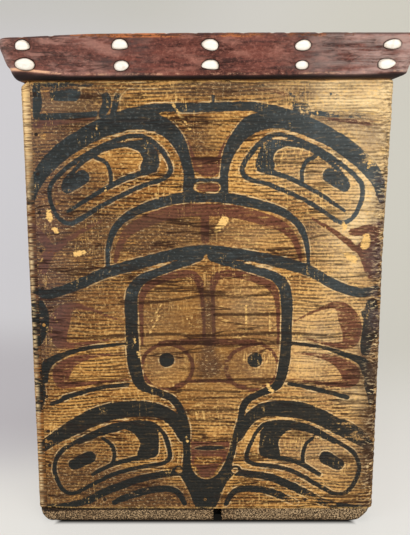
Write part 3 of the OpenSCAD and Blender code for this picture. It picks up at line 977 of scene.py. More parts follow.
def cedar_grain(f, place, s, smooth=0.0):
    """Cedar with its grain along the plank; place is the run along it, the depth and the height, in
    millimetres. Returns its colour, and how far each place lies in a dark line of late wood."""
    along, below, up = (f.axis(place, k) for k in range(3))
    drift = f.noise(place, (0.005, 0.02, 0.01), detail=2) - 0.5
    wander = f.noise(place, (0.03, 0.05, 0.03), detail=2) - 0.5
    ring = up + drift * 24.0 + wander * 3.0 + below * 0.6

    rings = f.node("ShaderNodeCombineXYZ", inputs={0: along, 1: below, 2: ring})
    coarse = f.noise(rings, (0.006, 0.05, 0.08), detail=2, roughness=0.62) - 0.5
    hair = f.noise(rings, (0.03, 0.05, 0.42), detail=1, roughness=0.62) - 0.5
    yearly = (ring * (2.0 * math.pi / (s.growth / MM)) + coarse * 9.0).wave()
    growth = yearly * 0.3 + hair * 1.5 + coarse * 1.2
    late = growth.ramp(-0.1, 0.3) * (1.0 - smooth * 0.68)
    cloud = f.noise(place, (0.012, 0.02, 0.022), detail=4)
    base = f.mix(s.cedar_mid, s.cedar_light, cloud.ramp(0.4, 0.62))
    return f.mix(base, s.cedar_dark, late * 0.9), late


def drying_cracks(f, place, speck, bright):
    """Dark cracks along the grain: fine ones where the wood is dry, and those drawn on the front."""
    split = abs(f.noise(place, (0.006, 0.02, 0.06)) - 0.5)
    dry = f.noise(place, (0.012, 0.02, 0.04), detail=2).ramp(0.48, 0.56)
    fine = split.ramp(0.024, 0.007) * dry * (1.0 - bright * 0.6)
    return fine.most((f.field("crack") + (speck - 0.5) * 2.0).ramp(1.1, -0.4))


def upright_scratches(f, place):
    """Thin scratches up the face, where it was rubbed."""
    stroke = abs(f.noise(place, (0.13, 0.1, 0.016), detail=2) - 0.5)
    rubbed = f.noise(place, (0.02, 0.02, 0.03), detail=2).ramp(0.54, 0.62)
    return stroke.ramp(0.022, 0.006) * rubbed


def lip_grain(f, s, up, torn, mottle, speck, grit):
    """End grain with fine level growth rings and pores; returns its colour and its rings."""
    tall = up + mottle * 9.0
    rings = (tall * (3.2 * math.pi / (s.growth / MM)) + torn * 12.0).wave() * 0.12 + speck
    colour = f.mix(s.pale, s.fresh_wood, mottle.ramp(0.4, 0.6) * 0.6)
    colour = f.mix(colour, s.cedar_mid, rings.ramp(0.5, 0.68) * 0.75)
    pores = (rings.ramp(0.62, 0.76) * 0.6 + grit.ramp(0.58, 0.68) * 0.6).least(1.0)
    return f.mix(colour, s.cedar_dark, pores), rings


# What oil, dirt and stain leave of the wood's own colour; the last one darkens the board in clouds and, as
# painted shade, towards its left
OILED, SOILED, DUSTY = (0.64, 0.58, 0.5), (0.42, 0.3, 0.2), (0.24, 0.16, 0.1)
UNPAINTED, STAINED, HANDLED = (1.0, 0.88, 0.78), (0.4, 0.35, 0.33), (0.45, 0.36, 0.32)
IN_GRAIN, DARKENED = (0.6, 0.6, 0.6), (0.6, 0.52, 0.45)
# What shade leaves of the board along its foot, in its open seam and in its notch
FOOT_SHADE, SEAM_SHADE, NOTCH_SHADE = (0.14, 0.1, 0.07), (0.08, 0.06, 0.05), (0.05, 0.04, 0.04)
# What cracks, shade and age leave of the lid, and growth lines of a shell
CRACKED, UNDER_SHADE, AGED = (0.3, 0.22, 0.2), (0.05, 0.03, 0.03), (0.6, 0.52, 0.46)
SHELL_LINE = (0.86, 0.82, 0.75)


def sides_finish(s):
    """Oiled cedar with a worn black and red painting on its front."""
    f = Finish("painted_cedar")
    place = f.place("plank")
    along, up = f.axis(place, 0), f.axis(place, 2)
    black, red, chip = f.field("black"), f.field("red"), f.field("chip")
    wear, wash, bright, smooth = (f.field(name) for name in ("wear", "wash", "bright", "smooth"))
    end, edge, bend = f.field("end_grain"), f.field("edge"), f.field("bend")
    # torn fibres, dirt and grit, which show in many places below
    torn = f.noise(place, (0.07, 0.1, 0.32), roughness=0.65)
    mottle = f.noise(place, (0.03, 0.05, 0.05), detail=5, roughness=0.65)
    speck = f.noise(place, (0.28, 0.3, 0.42), detail=2, roughness=0.7)
    grit = f.noise(f.shifted(place, (70.0, 30.0, 10.0)), (0.3, 0.3, 0.36), detail=1)
    fleck = torn.ramp(0.56, 0.66)
    crack = drying_cracks(f, place, speck, bright)
    scratch = upright_scratches(f, place)
    wood, late = cedar_grain(f, place, s, smooth)
    wood = f.tint(wood, OILED, smooth)
    # the bare sides and the inside are less soiled than the front
    plain = along.ramp(HALF_W, HALF_W + 10.0)
    soil = (mottle * 0.6 + torn * 0.4).ramp(0.5, 0.62) * (0.7 - bright * 0.7) * (1.0 - plain * 0.55)
    wood = f.tint(wood, SOILED, soil)
    # paler wood in the bright patches: bleached wood with painted light, most on the upper right
    pale_and_lit = (bright * (0.6 + mottle.ramp(0.35, 0.65) * 0.4)).least(0.95)
    wood = f.mix(wood, s.pale, pale_and_lit * (1.0 - late * 0.45))
    wood = f.mix(wood, s.fresh_wood, fleck * (0.5 + bright * 0.3) * (1.0 - late * 0.5))
    dust = grit.ramp(0.52, 0.66) * 0.5 + speck.ramp(0.56, 0.65) * 0.35
    dust = dust * (1.0 - bright * 0.45) * (1.0 - plain * 0.7) * (1.0 - smooth * 0.4)
    wood = f.tint(wood, DUSTY, dust)
    rubbed_grit = grit.ramp(0.46, 0.32) * 0.5 * (1.0 - plain * 0.6) * (1.0 - smooth * 0.5)
    wood = f.mix(wood, s.fresh_wood, (rubbed_grit + scratch * 0.4).least(1.0))
    wood = f.tint(wood, UNPAINTED, plain)
    # handling stain, plum at the left and right and brown between, with pale flecks left in it
    stain = (wash - bright * 0.5).most(0.0) * 1.5 * (mottle * 0.5 + speck * 0.5).ramp(0.32, 0.52)
    stain = stain.least(1.0)
    between = along.ramp(-172.0, -138.0) * along.ramp(140.0, 100.0)
    brown = up.ramp(SIDE_H * 0.5, SIDE_H * 0.3).most(between * 0.85)
    wash_colour = f.mix(s.wash, s.grime, brown)
    stained = f.mix(wash_colour, f.tint(wood, STAINED, 1.0), 0.55)
    wood = f.mix(wood, stained, stain * 0.95)
    wood = f.mix(wood, s.pale, stain * speck.ramp(0.45, 0.33) * 0.4)
    # a paler reserved line beside the black
    halo = black.ramp(1.9, 1.0) * black.ramp(0.1, 0.6) * (torn * 0.7 + mottle * 0.9).ramp(0.74, 0.9)
    wood = f.mix(wood, s.pale, halo * (0.6 - wash * 0.6))
    # paint, lost first on the ridges of the grain and where hands and lid rub
    rag = (torn - 0.5) * 2.6 + (speck - 0.5) * 3.0
    loss = f.noise(place, (0.05, 0.1, 0.16), detail=5, roughness=0.7) * 0.7 + speck * 0.3
    red_cover = (red + rag * 0.9).ramp(0.6, -0.6) * (loss - wear * 0.3).ramp(0.26, 0.44)
    red_dark = (late * 0.5 + smooth * 0.4 + grit.ramp(0.5, 0.66) * 0.4).least(1.0)
    red_colour = f.mix(s.red_paint, s.cedar_dark, red_dark)
    colour = f.mix(wood, red_colour, red_cover * (0.94 - fleck * 0.45))
    colour = f.mix(colour, wash_colour, stain * red_cover * 0.4)
    black_cover = (black + rag * 0.7).ramp(0.45, -0.45) * (loss - wear * 0.34).ramp(0.26, 0.36)
    # a painted sheen on the black paint, strongest on its upper half and in the bright patches
    sheen_on_black = bright * 0.5 + mottle.ramp(0.48, 0.75) * 0.3 + grit.ramp(0.45, 0.3) * 0.4 + 0.14
    sheen_on_black = sheen_on_black.least(1.0) * (0.15 + up.ramp(SIDE_H * 0.42, SIDE_H * 0.58) * 0.85)
    black_colour = f.tint(f.mix(s.black_paint, s.black_sheen, sheen_on_black), IN_GRAIN, late * 0.35)
    colour = f.mix(colour, black_colour, black_cover * (0.98 - fleck * 0.12))
    bare_chip = (chip + (torn - 0.5) * 6.0 + (speck - 0.5) * 4.0).ramp(0.7, -0.6)
    bared = (bare_chip * (0.95 - grit.ramp(0.5, 0.7) * 0.5)).most(scratch * speck.ramp(0.5, 0.6) * 0.5)
    colour = f.mix(colour, s.fresh_wood, bared)
    colour = f.mix(colour, s.crack, crack * (0.85 - black_cover * 0.55))
    # bent corners are crinkled, darker and stained lower down; rims and arrises are rubbed pale
    crinkle = f.noise(place, (0.14, 0.1, 0.4), roughness=0.65, distortion=0.5)
    lower = up.ramp(SIDE_H * 0.95, SIDE_H * 0.65)
    blotch = bend * mottle.ramp(0.46, 0.54) * lower
    colour = f.mix(colour, wash_colour, blotch * 0.8)
    colour = f.mix(colour, s.cedar_dark, bend * crinkle.ramp(0.52, 0.4) * (0.6 + lower * 0.35))
    colour = f.mix(colour, s.pale, bend * crinkle.ramp(0.54, 0.64) * (0.85 - blotch * 0.5))
    rub = edge.ramp(3.4, 0.4) * (speck * 0.6 + torn * 0.4).ramp(0.44, 0.56)
    colour = f.mix(colour, s.fresh_wood, rub * 0.6)
    # end grain on the lip, palest on its outer arris, under dirt and paint lower down
    end_colour, rings = lip_grain(f, s, up, torn, mottle, speck, grit)
    middle = (up + (mottle - 0.5) * 60.0).ramp(SIDE_H * 0.9, SIDE_H * 0.7)
    foot = up.ramp(SIDE_H * 0.25, SIDE_H * 0.1)
    from_left = f.axis(f.object_millimetres(), 0) + HALF_W
    rubbed_lip = 0.3 + (from_left + (speck - 0.5) * 6.0).ramp(9.5, 3.0) * 0.6
    colour = f.mix(colour, end_colour, end * rubbed_lip * (1.0 - middle * (1.0 - foot * 0.1)))
    flaked = (speck * 0.5 + torn * 0.5).ramp(0.45, 0.54) * from_left.ramp(7.5, 2.5) * middle
    colour = f.mix(colour, s.pale, end * flaked * 0.8)
    soiled = middle * (mottle * 0.4 + speck * 0.6).ramp(0.6, 0.42)
    colour = f.tint(colour, HANDLED, end * soiled * 0.8)
    roughness = 0.66 - black_cover * 0.12 + torn.ramp(0.5, 0.8) * 0.14
    relief = late * -0.0003 - crack * 0.0007 + torn * 0.0004
    relief = relief + bend * crinkle * 0.0018 - bare_chip * 0.0003
    relief = relief + end * (rings * 0.0006 + speck * 0.0005)
    dimples = speck * 0.0002 + grit * 0.0003
    return f.surface(colour, roughness, [(relief, 1.0), (dimples, 0.9)], specular=0.12)


def front_columns(half, step, extra=()):
    """Places along the front from -1 to 1, with extra places put in."""
    count = int(round(2 * half / step))
    return np.sort(np.concatenate([np.linspace(-1, 1, count + 1), np.array(extra, float) / half]))


def ring_loft(profile, columns):
    """Rings round the box from a profile of (reach past the box, height, corner radius)."""
    rings = []
    for reach, z, radius in profile:
        loop = rounded_loop(HALF_W + reach, HALF_D + reach, radius, columns)
        rings.append(np.column_stack([loop, np.full(len(loop), z)]))
    return np.array(rings)


def arc(from_deg, to_deg, steps):
    """Angles of an arc's points after its first, in radians."""
    return np.radians(np.linspace(from_deg, to_deg, steps + 1))[1:]


def board_profile(s, inset):
    """The board's section: underside, worn edge, ledge under the sides, and the panel's wall and top."""
    radius, top, panel = s.edge_radius / MM, SEAM_Z - BOARD_Z, PANEL_Z - BOARD_Z
    profile = [(-180, 0, 4), (-140, 0, 8), (-90, 0, 8), (-50, 0, 8)]
    profile += [(-22, 0, 9), (-radius - 2, 0, 9), (-radius, 0, 9)]
    profile += [(-radius + radius * math.sin(a), radius - radius * math.cos(a), 10) for a in arc(0, 90, 6)]
    profile += [(0, z, 10) for z in np.linspace(radius, top, 7)[1:-1]]
    profile += [(-0.1, top - 0.6, 10), (-0.7, top, 10), (-6, top, 8), (-12, top, 6), (-inset + 0.4, top, 2)]
    profile += [(-inset, z, 2) for z in (top + 0.5, top + 8, panel - 6, panel - 0.8)]
    profile += [(-inset - 0.8, panel, 2)] + [(-back, panel, 4) for back in (60, 100, 140, 180)]
    return profile


def build_bottom(s, plank, finish):
    """The bottom board: worn edge, notch and raised panel."""
    radius, top = s.edge_radius / MM, SEAM_Z - BOARD_Z
    inset = plank.thickness / MM + s.panel_fit / MM
    left = (s.notch_middle - s.notch_width / 2) / MM
    right = (s.notch_middle + s.notch_width / 2) / MM
    # two columns a hair apart stand at each side of the notch
    hair, step, side_columns = 0.02, 2.6, 60
    sides = (left - hair, left + hair, right - hair, right + hair)
    columns = (front_columns(HALF_W - 10, step, sides), side_columns, side_columns, side_columns)
    profile = board_profile(s, inset)
    x, y, z = np.moveaxis(ring_loft(profile, columns), -1, 0)
    reach = np.broadcast_to(np.array(profile)[:, :1], x.shape)
    edge = (reach > -radius - 3) & (z < top - 0.1)
    # chewed end grain and corners knocked round, the right one most
    rough = 0.5 * ripple(21, (x, 22), (y, 22), (z, 14)) + 0.35 * ripple(22, (x, 7), (y, 7), (z, 8))
    bite = np.where(edge, np.minimum(rough, 0.35) - 0.2, 0)
    out_x = np.where(np.abs(x) > HALF_W - 12, np.sign(x), 0)
    out_y = np.where(np.abs(y) > HALF_D - 12, np.sign(y), 0)
    bite = bite / np.maximum(np.hypot(out_x, out_y), 1)
    round_right = eased(x, HALF_W - 26, HALF_W) ** 2
    round_left = eased(-x, HALF_W - 18, HALF_W) ** 2
    low = np.clip(1 - z / top, 0, 1)
    rise = (9 * round_right + 4 * round_left) * low * (reach > -30)
    tuck = (5 * round_right + 2.5 * round_left) * low**2 * (reach > -30)
    px, py = x + out_x * bite - np.sign(x) * tuck, y + out_y * bite
    notch = (x > left) & (x < right) & (y < -HALF_D + inset + 2) & (reach > -inset + 0.1)
    py = np.where(notch, -HALF_D + inset - 0.5, py)
    points = np.stack([px, py, z + rise + BOARD_Z], -1).reshape(-1, 3)
    piece = mesh_piece(
        "bottom_board",
        points,
        closed_loft(*x.shape),
        fields={"low": low, "notch": notch, "edge": (reach > -radius - 1) & (z < top + 0.1)},
    )
    hand_over(piece, "box", finish, "box_bottom")


def bottom_finish(s):
    """Grey-brown cedar, pitted along the edge where its end grain shows."""
    f = Finish("bottom_cedar")
    place = f.object_millimetres()
    run, edge = f.axis(place, 0), f.field("edge")
    fibre = f.noise(place, (0.02, 0.25, 0.25), detail=4, roughness=0.6)
    pits = f.noise(place, (0.5, 0.5, 0.7), detail=2, roughness=0.7)
    grit = f.noise(place, (0.6, 0.6, 0.7), detail=1)
    cloud = f.noise(place, (0.02, 0.02, 0.04))
    colour = f.mix(s.wood, s.pale, fibre.ramp(0.45, 0.7) * 0.6)
    rough = f.mix(s.wood, s.pale, pits.ramp(0.48, 0.58) * 0.95)
    rough = f.mix(rough, s.dark, (pits.ramp(0.48, 0.4) * 0.8 + grit.ramp(0.52, 0.64) * 0.65).least(1.0))
    colour = f.mix(colour, rough, edge)
    # darker in random clouds, and darker towards the left end as painted shade
    clouds_and_shade = (cloud.ramp(0.45, 0.7) * 0.6 + run.ramp(40.0, -190.0) * 0.4).least(1.0)
    colour = f.tint(colour, DARKENED, clouds_and_shade)
    colour = f.tint(colour, FOOT_SHADE, edge * f.field("low").ramp(0.62, 0.98))
    # the open seam under the left half of the front, widest at the corner
    seam = (f.axis(place, 2) + run.ramp(-140.0, -185.0) * 1.6).ramp(SEAM_Z - 2.6, SEAM_Z - 1.2)
    colour = f.tint(colour, SEAM_SHADE, edge * seam * run.ramp(90.0, 0.0) * 0.95)
    colour = f.tint(colour, NOTCH_SHADE, f.field("notch"))
    relief = fibre * 0.0004 + edge * (pits * 0.0016 + grit * 0.0006)
    return f.surface(colour, 0.8 - grit * 0.1, [(relief, 1.0)], specular=0.2)


# Opercula: width, height, egg shape, flatness of the lower edge, lean, and how far each was set from
# its even place, across and up; then each column's drift
UPPER_SHELLS = [
    (14.8, 13.6, 0, 0.5, 0, 2.3, -1.2), (16.6, 13.8, 0.05, 0.5, 2, 0.3, -1.2),
    (17.5, 11.6, 0.15, 0.05, -8, 0.6, -0.6), (16.8, 11.2, 0.08, 0.1, 6, 0.5, -2.0),
    (18.6, 10.2, 0.1, 0.1, 4, 0, -1.4),
]
LOWER_SHELLS = [
    (21, 12.6, 0.05, 0.05, -3, -1.7, 1.1), (15.6, 10.6, -0.12, 0.05, 8, -1, -0.8),
    (18, 13, 0.1, 0.5, -4, 1.2, -1.6), (13.5, 9.8, 0.05, 0.15, 0, 2.6, -1.6),
    (18.4, 10.6, -0.15, 0.05, 6, 0, -0.4),
]
COLUMN_DRIFT = (0, 7, 4.5, 5.5, 3)
SHELL_TURN = np.linspace(0, 2 * math.pi, 56, endpoint=False)


def shell_outline(shell):
    """Places round a shell's outline, right and up from its middle."""
    width, height, egg, flat, lean = shell[:5]
    across, above = np.cos(SHELL_TURN), np.sin(SHELL_TURN)
    lower = -(1 - flat) * np.maximum(0, -above) ** (1 - flat)
    x = width / 2 * across
    y = height / 2 * (1 + egg * across) * np.where(above < 0, lower, above)
    turn = math.radians(lean)
    return x * math.cos(turn) - y * math.sin(turn), x * math.sin(turn) + y * math.cos(turn)


class LidFace:
    """The lid's sloping front: its own up and out directions, and where each shell is set."""

    def __init__(self, lid, shells):
        foot = RIM_Z + lid.bevel_height / MM
        height = LID_Z - RIM_Z - lid.bevel_height / MM
        slope = math.atan2(lid.flare_out / MM, height)
        self.up = np.array([0, -math.sin(slope), math.cos(slope)])
        self.out = np.array([0, -math.cos(slope), -math.sin(slope)])
        self.middle = np.array([0, -HALF_D - (lid.bevel_out + lid.flare_out / 2) / MM, foot + height / 2])
        face_length = height / math.cos(slope)
        low_row = shells.row_low / MM - face_length / 2
        self.shells = []
        for row, table, rise in (
            ("upper", UPPER_SHELLS, low_row + shells.row_gap / MM),
            ("lower", LOWER_SHELLS, low_row),
        ):
            reach = (lid.bevel_out + lid.flare_out * (0.5 + rise / face_length) - shells.end_gap) / MM
            for number, shell in enumerate(table):
                x = (HALF_W + reach) * (number / 2 - 1) + COLUMN_DRIFT[number] + shell[5]
                self.shells.append((f"operculum_{row}_{number + 1}", shell, x, rise + shell[6]))

    def on_face(self, x, rise, out):
        """A place on the face, in millimetres, from its middle, up its slope and out of it."""
        return self.middle + np.array([x, 0, tilt(x)]) + self.up * rise + self.out * out


def lid_profile(s, plank):
    """The lid's section from the hollow's roof round to its top, above the rim; also the numbers of the
    rings at which its outside and its top begin."""
    tall = LID_Z - RIM_Z
    bevel_out, bevel_h, flare = s.bevel_out / MM, s.bevel_height / MM, s.flare_out / MM
    top_r, deep, ring_low = s.top_radius / MM, s.hollow / MM, -s.ring_depth / MM
    ring = -(plank.thickness + s.ring_fit) / MM
    hollow = ring - s.ring_width / MM
    roof = hollow - s.hollow_slope / MM
    # the hollow, the ring and the flat that rests on the rim
    profile = [(-180, deep, 4), (-140, deep, 8), (-100, deep, 8), (-70, deep, 8), (roof - 2, deep, 12)]
    profile += [(roof + 0.6, deep - 1.2, 12), (hollow - 4, deep / 2, 12), (hollow - 0.2, 1, 12)]
    profile += [(hollow, -1, 12), (hollow, ring_low + 1, 12), (hollow + 1, ring_low, 12)]
    profile += [(ring - 1, ring_low, 2), (ring, ring_low + 1, 2), (ring, -0.8, 2), (ring + 0.6, 0, 2)]
    profile += [(-10, 0, 2), (-1.5, 0, 3), (0, 0.1, 4)]
    first_outer = len(profile)
    # the rounded underside, the flared face, the upper edge and the top
    for a in arc(0, 84, 6):
        profile.append((bevel_out * math.sin(a), bevel_h * (1 - math.cos(a)), 4 + 3 * math.sin(a)))
    rows = 22
    for k in range(rows + 1):
        z = bevel_h + 0.4 + (tall - top_r - bevel_h - 0.4) * k / rows
        profile.append((bevel_out + flare * (z - bevel_h) / (tall - bevel_h), z, 7))
    edge_reach = bevel_out + flare * (tall - top_r - bevel_h) / (tall - bevel_h)
    for a in arc(0, 90, 6):
        profile.append((edge_reach - top_r * (1 - math.cos(a)), tall - top_r * (1 - math.sin(a)), 7))
    first_top = len(profile)
    for back in (3, 8, 16, 28, 44, 64, 88, 114, 144, 184):
        profile.append((edge_reach - top_r - back, tall, max(3, 7 - back / 4)))
    return profile, first_outer, first_top


def build_lid(s, plank, face, finish):
    """The carved lid: rounded underside, flared faces, crowned top, ring and hollow."""
    tall, bevel_h, crown = LID_Z - RIM_Z, s.bevel_height / MM, s.crown / MM
    step, side_columns = 2.2, 70
    columns = (front_columns(HALF_W, step), side_columns, side_columns, side_columns)
    profile, first_outer, first_top = lid_profile(s, plank)
    x, y, level = np.moveaxis(ring_loft(profile, columns), -1, 0)
    ring = np.broadcast_to(np.arange(len(profile))[:, None], x.shape)
    outer, on_top = ring >= first_outer, ring >= first_top
    on_face = outer & ~on_top
    # the top is crowned and drops to the left
    rising = np.clip((level - bevel_h) / (tall - bevel_h), 0, 1) * outer
    z = level - (crown * (x / HALF_W) ** 2 + 2.6 * eased(-x, 110, HALF_W + 16)) * rising
    # the lower edge is worn up at the corners, and the right end reaches further out than the left
    worn_up = 6.5 * np.exp(-(((x + 210) / 45) ** 2)) + 3 * np.exp(-(((x - 215) / 30) ** 2)) - 1.4
    z = z + worn_up * np.where(level < bevel_h, level / bevel_h, 1 - rising).clip(0, 1) * outer
    right_end = eased(x, HALF_W - 8, HALF_W + 12) * eased(level, -2, 5)
    left_end = eased(-x, HALF_W - 8, HALF_W + 12) * eased(level, 3, 12) * eased(level, tall + 3, tall - 9)
    ends = (10.5 * right_end - 3.4 * left_end) * eased(-y, -HALF_D, HALF_D) * outer
    # adze marks and dents on the faces, a worn and chipped top edge
    dent = 0.35 * ripple(31, (x, 60), (y, 60), (z, 40)) + 0.2 * ripple(32, (x, 16), (y, 16), (z, 13))
    top_dent = 0.5 * ripple(33, (x, 90), (y, 45)) + 0.15 * ripple(34, (x, 30), (y, 12)) - 0.4
    norm_x = np.where(np.abs(x) / HALF_W > np.abs(y) / HALF_D, np.sign(x), 0)
    norm_y = np.where(norm_x == 0, np.sign(y), 0)
    edge_row = np.exp(-(((level - tall + 1) / 3.0) ** 2)) * outer
    chip = np.clip(ripple(35, (x, 24), (y, 24)) + 0.5 * ripple(36, (x, 9), (y, 9)) - 0.35, 0, 1.2)
    bite = edge_row * chip
    px = x + ends + np.where(on_face, norm_x * dent, 0) - bite * norm_x
    py = y + np.where(on_face, norm_y * dent, 0) - bite * norm_y
    pz = z + np.where(on_top, top_dent, 0) - bite * 1.5
    points = np.stack([px, py, pz + RIM_Z], -1)
    # pockets round the shells
    pocket = np.full(x.shape, FAR)
    front = outer & (y < -HALF_D - 4)
    from_middle = (points - face.middle)[front]
    spots = np.stack([from_middle[:, 0], from_middle @ face.up], 1)
    outlines = (np.stack(shell_outline(shell), 1) + (cx, up) for _, shell, cx, up in face.shells)
    pocket[front] = nearest(shape_distance(spots, line) for line in outlines)
    points[..., 2] += tilt(px)
    points = points - face.out * (1.6 * eased(pocket, 1.2, 0.0))[..., None]
    reach = np.array(profile)[:, :1]
    piece = mesh_piece(
        "carved_lid",
        points.reshape(-1, 3),
        closed_loft(*x.shape),
        fields={
            "pocket": pocket,
            "top_edge": edge_row,
            "low_edge": np.exp(-(((level - bevel_h) / 1.4) ** 2)) * outer,
            "inside": 1.0 - outer,
            "top": on_top,
            "chipped": edge_row * np.clip(chip, 0, 1),
            "under": eased(level, bevel_h - 0.6, bevel_h - 3.0) * outer,
            "corner": eased(np.abs(x) - HALF_W - reach, -11, -2) * on_face,
        },
    )
    hand_over(piece, "lid", finish, "lid")


def lid_finish(s, cedar, grime):
    """Dull red-brown paint over cedar, rubbed to the wood along the edges."""
    f = Finish("lid_paint")
    place = f.object_millimetres()
    run = f.axis(place, 0)
    fibre = f.noise(place, (0.014, 0.16, 0.24), roughness=0.65)
    cloud = f.noise(place, (0.016, 0.016, 0.04), detail=5, roughness=0.62)
    speck = f.noise(place, (0.3, 0.35, 0.4), detail=2, roughness=0.7)
    rub = f.noise(place, (0.024, 0.05, 0.12), detail=5, roughness=0.68)
    apart = f.shifted(place, (300.0, 0.0, 90.0))
    soft = f.noise(apart, (0.03, 0.05, 0.09), detail=4, roughness=0.6)
    split = abs(f.noise(place, (0.02, 0.1, 0.16), roughness=0.6, distortion=0.6) - 0.5)
    crack = split.ramp(0.014, 0.004) * cloud.ramp(0.46, 0.56)
    dark = cloud.ramp(0.4, 0.64) * 0.6 + fibre.ramp(0.48, 0.62) * 0.6 + speck.ramp(0.46, 0.34) * 0.5
    paint = f.mix(s.paint, s.paint_dark, dark.least(1.0))
    # painted sheen: lighter, glossy-looking patches on the paint
    painted_sheen = soft.ramp(0.48, 0.66) * 0.6 + speck.ramp(0.54, 0.64) * 0.35
    paint = f.mix(paint, s.sheen, painted_sheen.least(1.0))
    # soot in two places along the face, and a pale painted sheen towards the ends and on the rounded
    # corners
    sooty = run.ramp(-128.0, -96.0) * run.ramp(-44.0, -76.0)
    sooty = sooty + run.ramp(92.0, 120.0) * run.ramp(166.0, 132.0)
    paint = f.mix(paint, s.smudge, sooty * (cloud * 0.5 + rub * 0.5).ramp(0.42, 0.56) * 0.7)
    right = run.ramp(60.0, 200.0) * (fibre * 0.5 + soft * 0.5).ramp(0.36, 0.58) * 0.55
    left = run.ramp(-40.0, -150.0) * (0.04 + soft.ramp(0.45, 0.65) * 0.12)
    corner = f.field("corner") * (0.15 + rub.ramp(0.45, 0.6) * 0.3)
    for end_sheen_amount in (right, left, corner):
        paint = f.mix(paint, s.end_sheen, end_sheen_amount)
    paint = f.tint(paint, CRACKED, crack * 0.5)
    # edges rubbed bare: the upper one in patches left of the middle, the lower one in a thin line
    top_edge, low_edge = f.field("top_edge"), f.field("low_edge")
    ragged = rub * 0.6 + speck * 0.4
    patch = run.ramp(-160.0, -130.0) * run.ramp(-2.0, -24.0)
    patch = patch + run.ramp(4.0, 20.0) * run.ramp(70.0, 48.0) * 0.7
    bare = (ragged + patch * 0.12).ramp(0.56, 0.64) * top_edge.ramp(0.08, 0.4)
    bare = bare.most(f.field("chipped") * 0.8).most(f.field("top") * ragged.ramp(0.55, 0.66) * 0.5)
    wood = f.mix(s.worn, cedar.cedar_dark, (fibre * 0.6 + speck * 0.4).ramp(0.47, 0.56) * 0.8)
    colour = f.mix(f.mix(paint, s.paint_dark, top_edge.ramp(0.55, 0.95) * 0.7), wood, bare * 0.9)
    arris = low_edge.ramp(0.3, 0.9) * (ragged + run.ramp(-140.0, -190.0) * 0.16).ramp(0.48, 0.6)
    colour = f.mix(colour, s.arris, arris * (0.35 + run.ramp(-120.0, -180.0) * 0.5))
    # painted shade, near black, below the lower edge, and dirt with painted shade round the shells
    colour = f.tint(colour, UNDER_SHADE, f.field("under"))
    colour = f.mix(colour, grime, f.field("pocket").ramp(1.5, 0.3) * (0.55 + speck * 0.5))
    # bare cedar inside
    inner = f.mix(cedar.cedar_mid, cedar.cedar_dark, fibre.ramp(0.45, 0.65) * 0.6)
    inner = f.tint(inner, AGED, cloud.ramp(0.42, 0.66) * 0.6)
    colour = f.mix(colour, inner, f.field("inside"))
    roughness = 0.4 + speck * 0.25 + bare * 0.2 + cloud.ramp(0.4, 0.6) * 0.12
    relief = fibre * 0.0007 + speck * 0.0003 - bare * 0.0003 - crack * 0.0004 + cloud * 0.0006
    return f.surface(colour, roughness, [(relief, 1.0)], specular=0.24)


def build_shells(s, face, finish):
    """Ten domed opercula, each bedded in its own pocket."""
    dome, around = s.rise / MM, len(SHELL_TURN)
    # rings from the seat to near the crown, as (share of the outline, height out of the face)
    loops = [(0.94, -s.seat / MM), (0.99, -0.6)]
    loops += [(math.cos(a) ** 0.8, dome * math.sin(a) ** 0.9) for a in np.radians(np.linspace(4, 84, 12))]
    faces, index = loft_faces(len(loops), around)
    rim = index[-1].tolist()
    faces += [[a, b, index.size] for a, b in zip(rim, rim[1:] + rim[:1])]
    faces.append(index[0, ::-1].tolist())
    margin = [*np.repeat([share for share, _ in loops], around), 0.0]
    for order, (node, shell, cx, rise) in enumerate(face.shells):
        seed = 41 + order % len(LOWER_SHELLS) + (10 if rise > 0 else 0)
        wobble = 1 + 0.015 * np.sin(3 * SHELL_TURN + seed) + 0.01 * np.sin(5 * SHELL_TURN + 2 * seed)
        outline = np.stack(shell_outline(shell), 1) * wobble[:, None]
        # the crown stands a little to one side of the shell's middle
        lean = np.array([0.08 * math.sin(seed * 1.7), 0.06 * math.cos(seed * 2.3)]) * shell[:2]
        points = []
        for share, out in loops:
            for x, up in outline * share + lean * (max(out, 0) / dome):
                points.append(face.on_face(cx + x, rise + up, out))
        points.append(face.on_face(cx + lean[0], rise + lean[1], dome))
        piece = mesh_piece(node + "_shell", points, faces, fields={"margin": margin}, smooth_angle=60)
        hand_over(piece, "lid", finish, node)


def shell_finish(s):
    """Cream shell with warm painted shade towards its margin, dirt and painted shade at its very edge, and
    faint growth lines.
    """
    f = Finish("shell")
    place = f.object_millimetres()
    margin = f.field("margin")
    cloud = f.noise(place, (0.12, 0.12, 0.16), detail=3)
    dirt = f.noise(place, (0.5, 0.5, 0.6), detail=4, roughness=0.65)
    waves = {"Vector": place, "Scale": 0.08, "Distortion": 6.0, "Detail": 2.0}
    lines = f.node("ShaderNodeTexWave", {"wave_type": "RINGS"}, waves, output=1)
    colour = f.mix(s.body, s.shade, cloud.ramp(0.52, 0.72) * 0.45)
    # warm painted shade down the dome towards its margin, and dirt with painted shade at its very edge
    colour = f.mix(colour, s.shade, margin.ramp(0.7, 0.99) * 0.6)
    colour = f.mix(colour, s.grime, margin.ramp(0.88, 1.0) * dirt.ramp(0.42, 0.62) * 0.6)
    colour = f.tint(colour, SHELL_LINE, lines.ramp(0.6, 0.9) * 0.3)
    relief = lines * 0.00006 + dirt * 0.00005
    return f.surface(colour, 0.3 + dirt * 0.2, [(relief, 0.6)], specular=0.5)


def peg_finish(s):
    """Dark whittled pegs, a few of them with pale split heads."""
    f = Finish("peg_wood")
    place = f.object_millimetres()
    own = f.noise(place, (0.02, 0.02, 0.03), detail=0)
    speck = f.noise(place, (0.8, 0.8, 0.8), detail=3, roughness=0.7)
    colour = f.mix(s.cedar_dark, s.black_paint, speck.ramp(0.4, 0.62) * 0.8)
    colour = f.mix(colour, s.cedar_light, own.ramp(0.56, 0.64) * speck.ramp(0.3, 0.6) * 0.8)
    return f.surface(colour, 0.7 + speck * 0.1, [(speck * 0.0006, 0.9)], specular=0.25)


# Stage


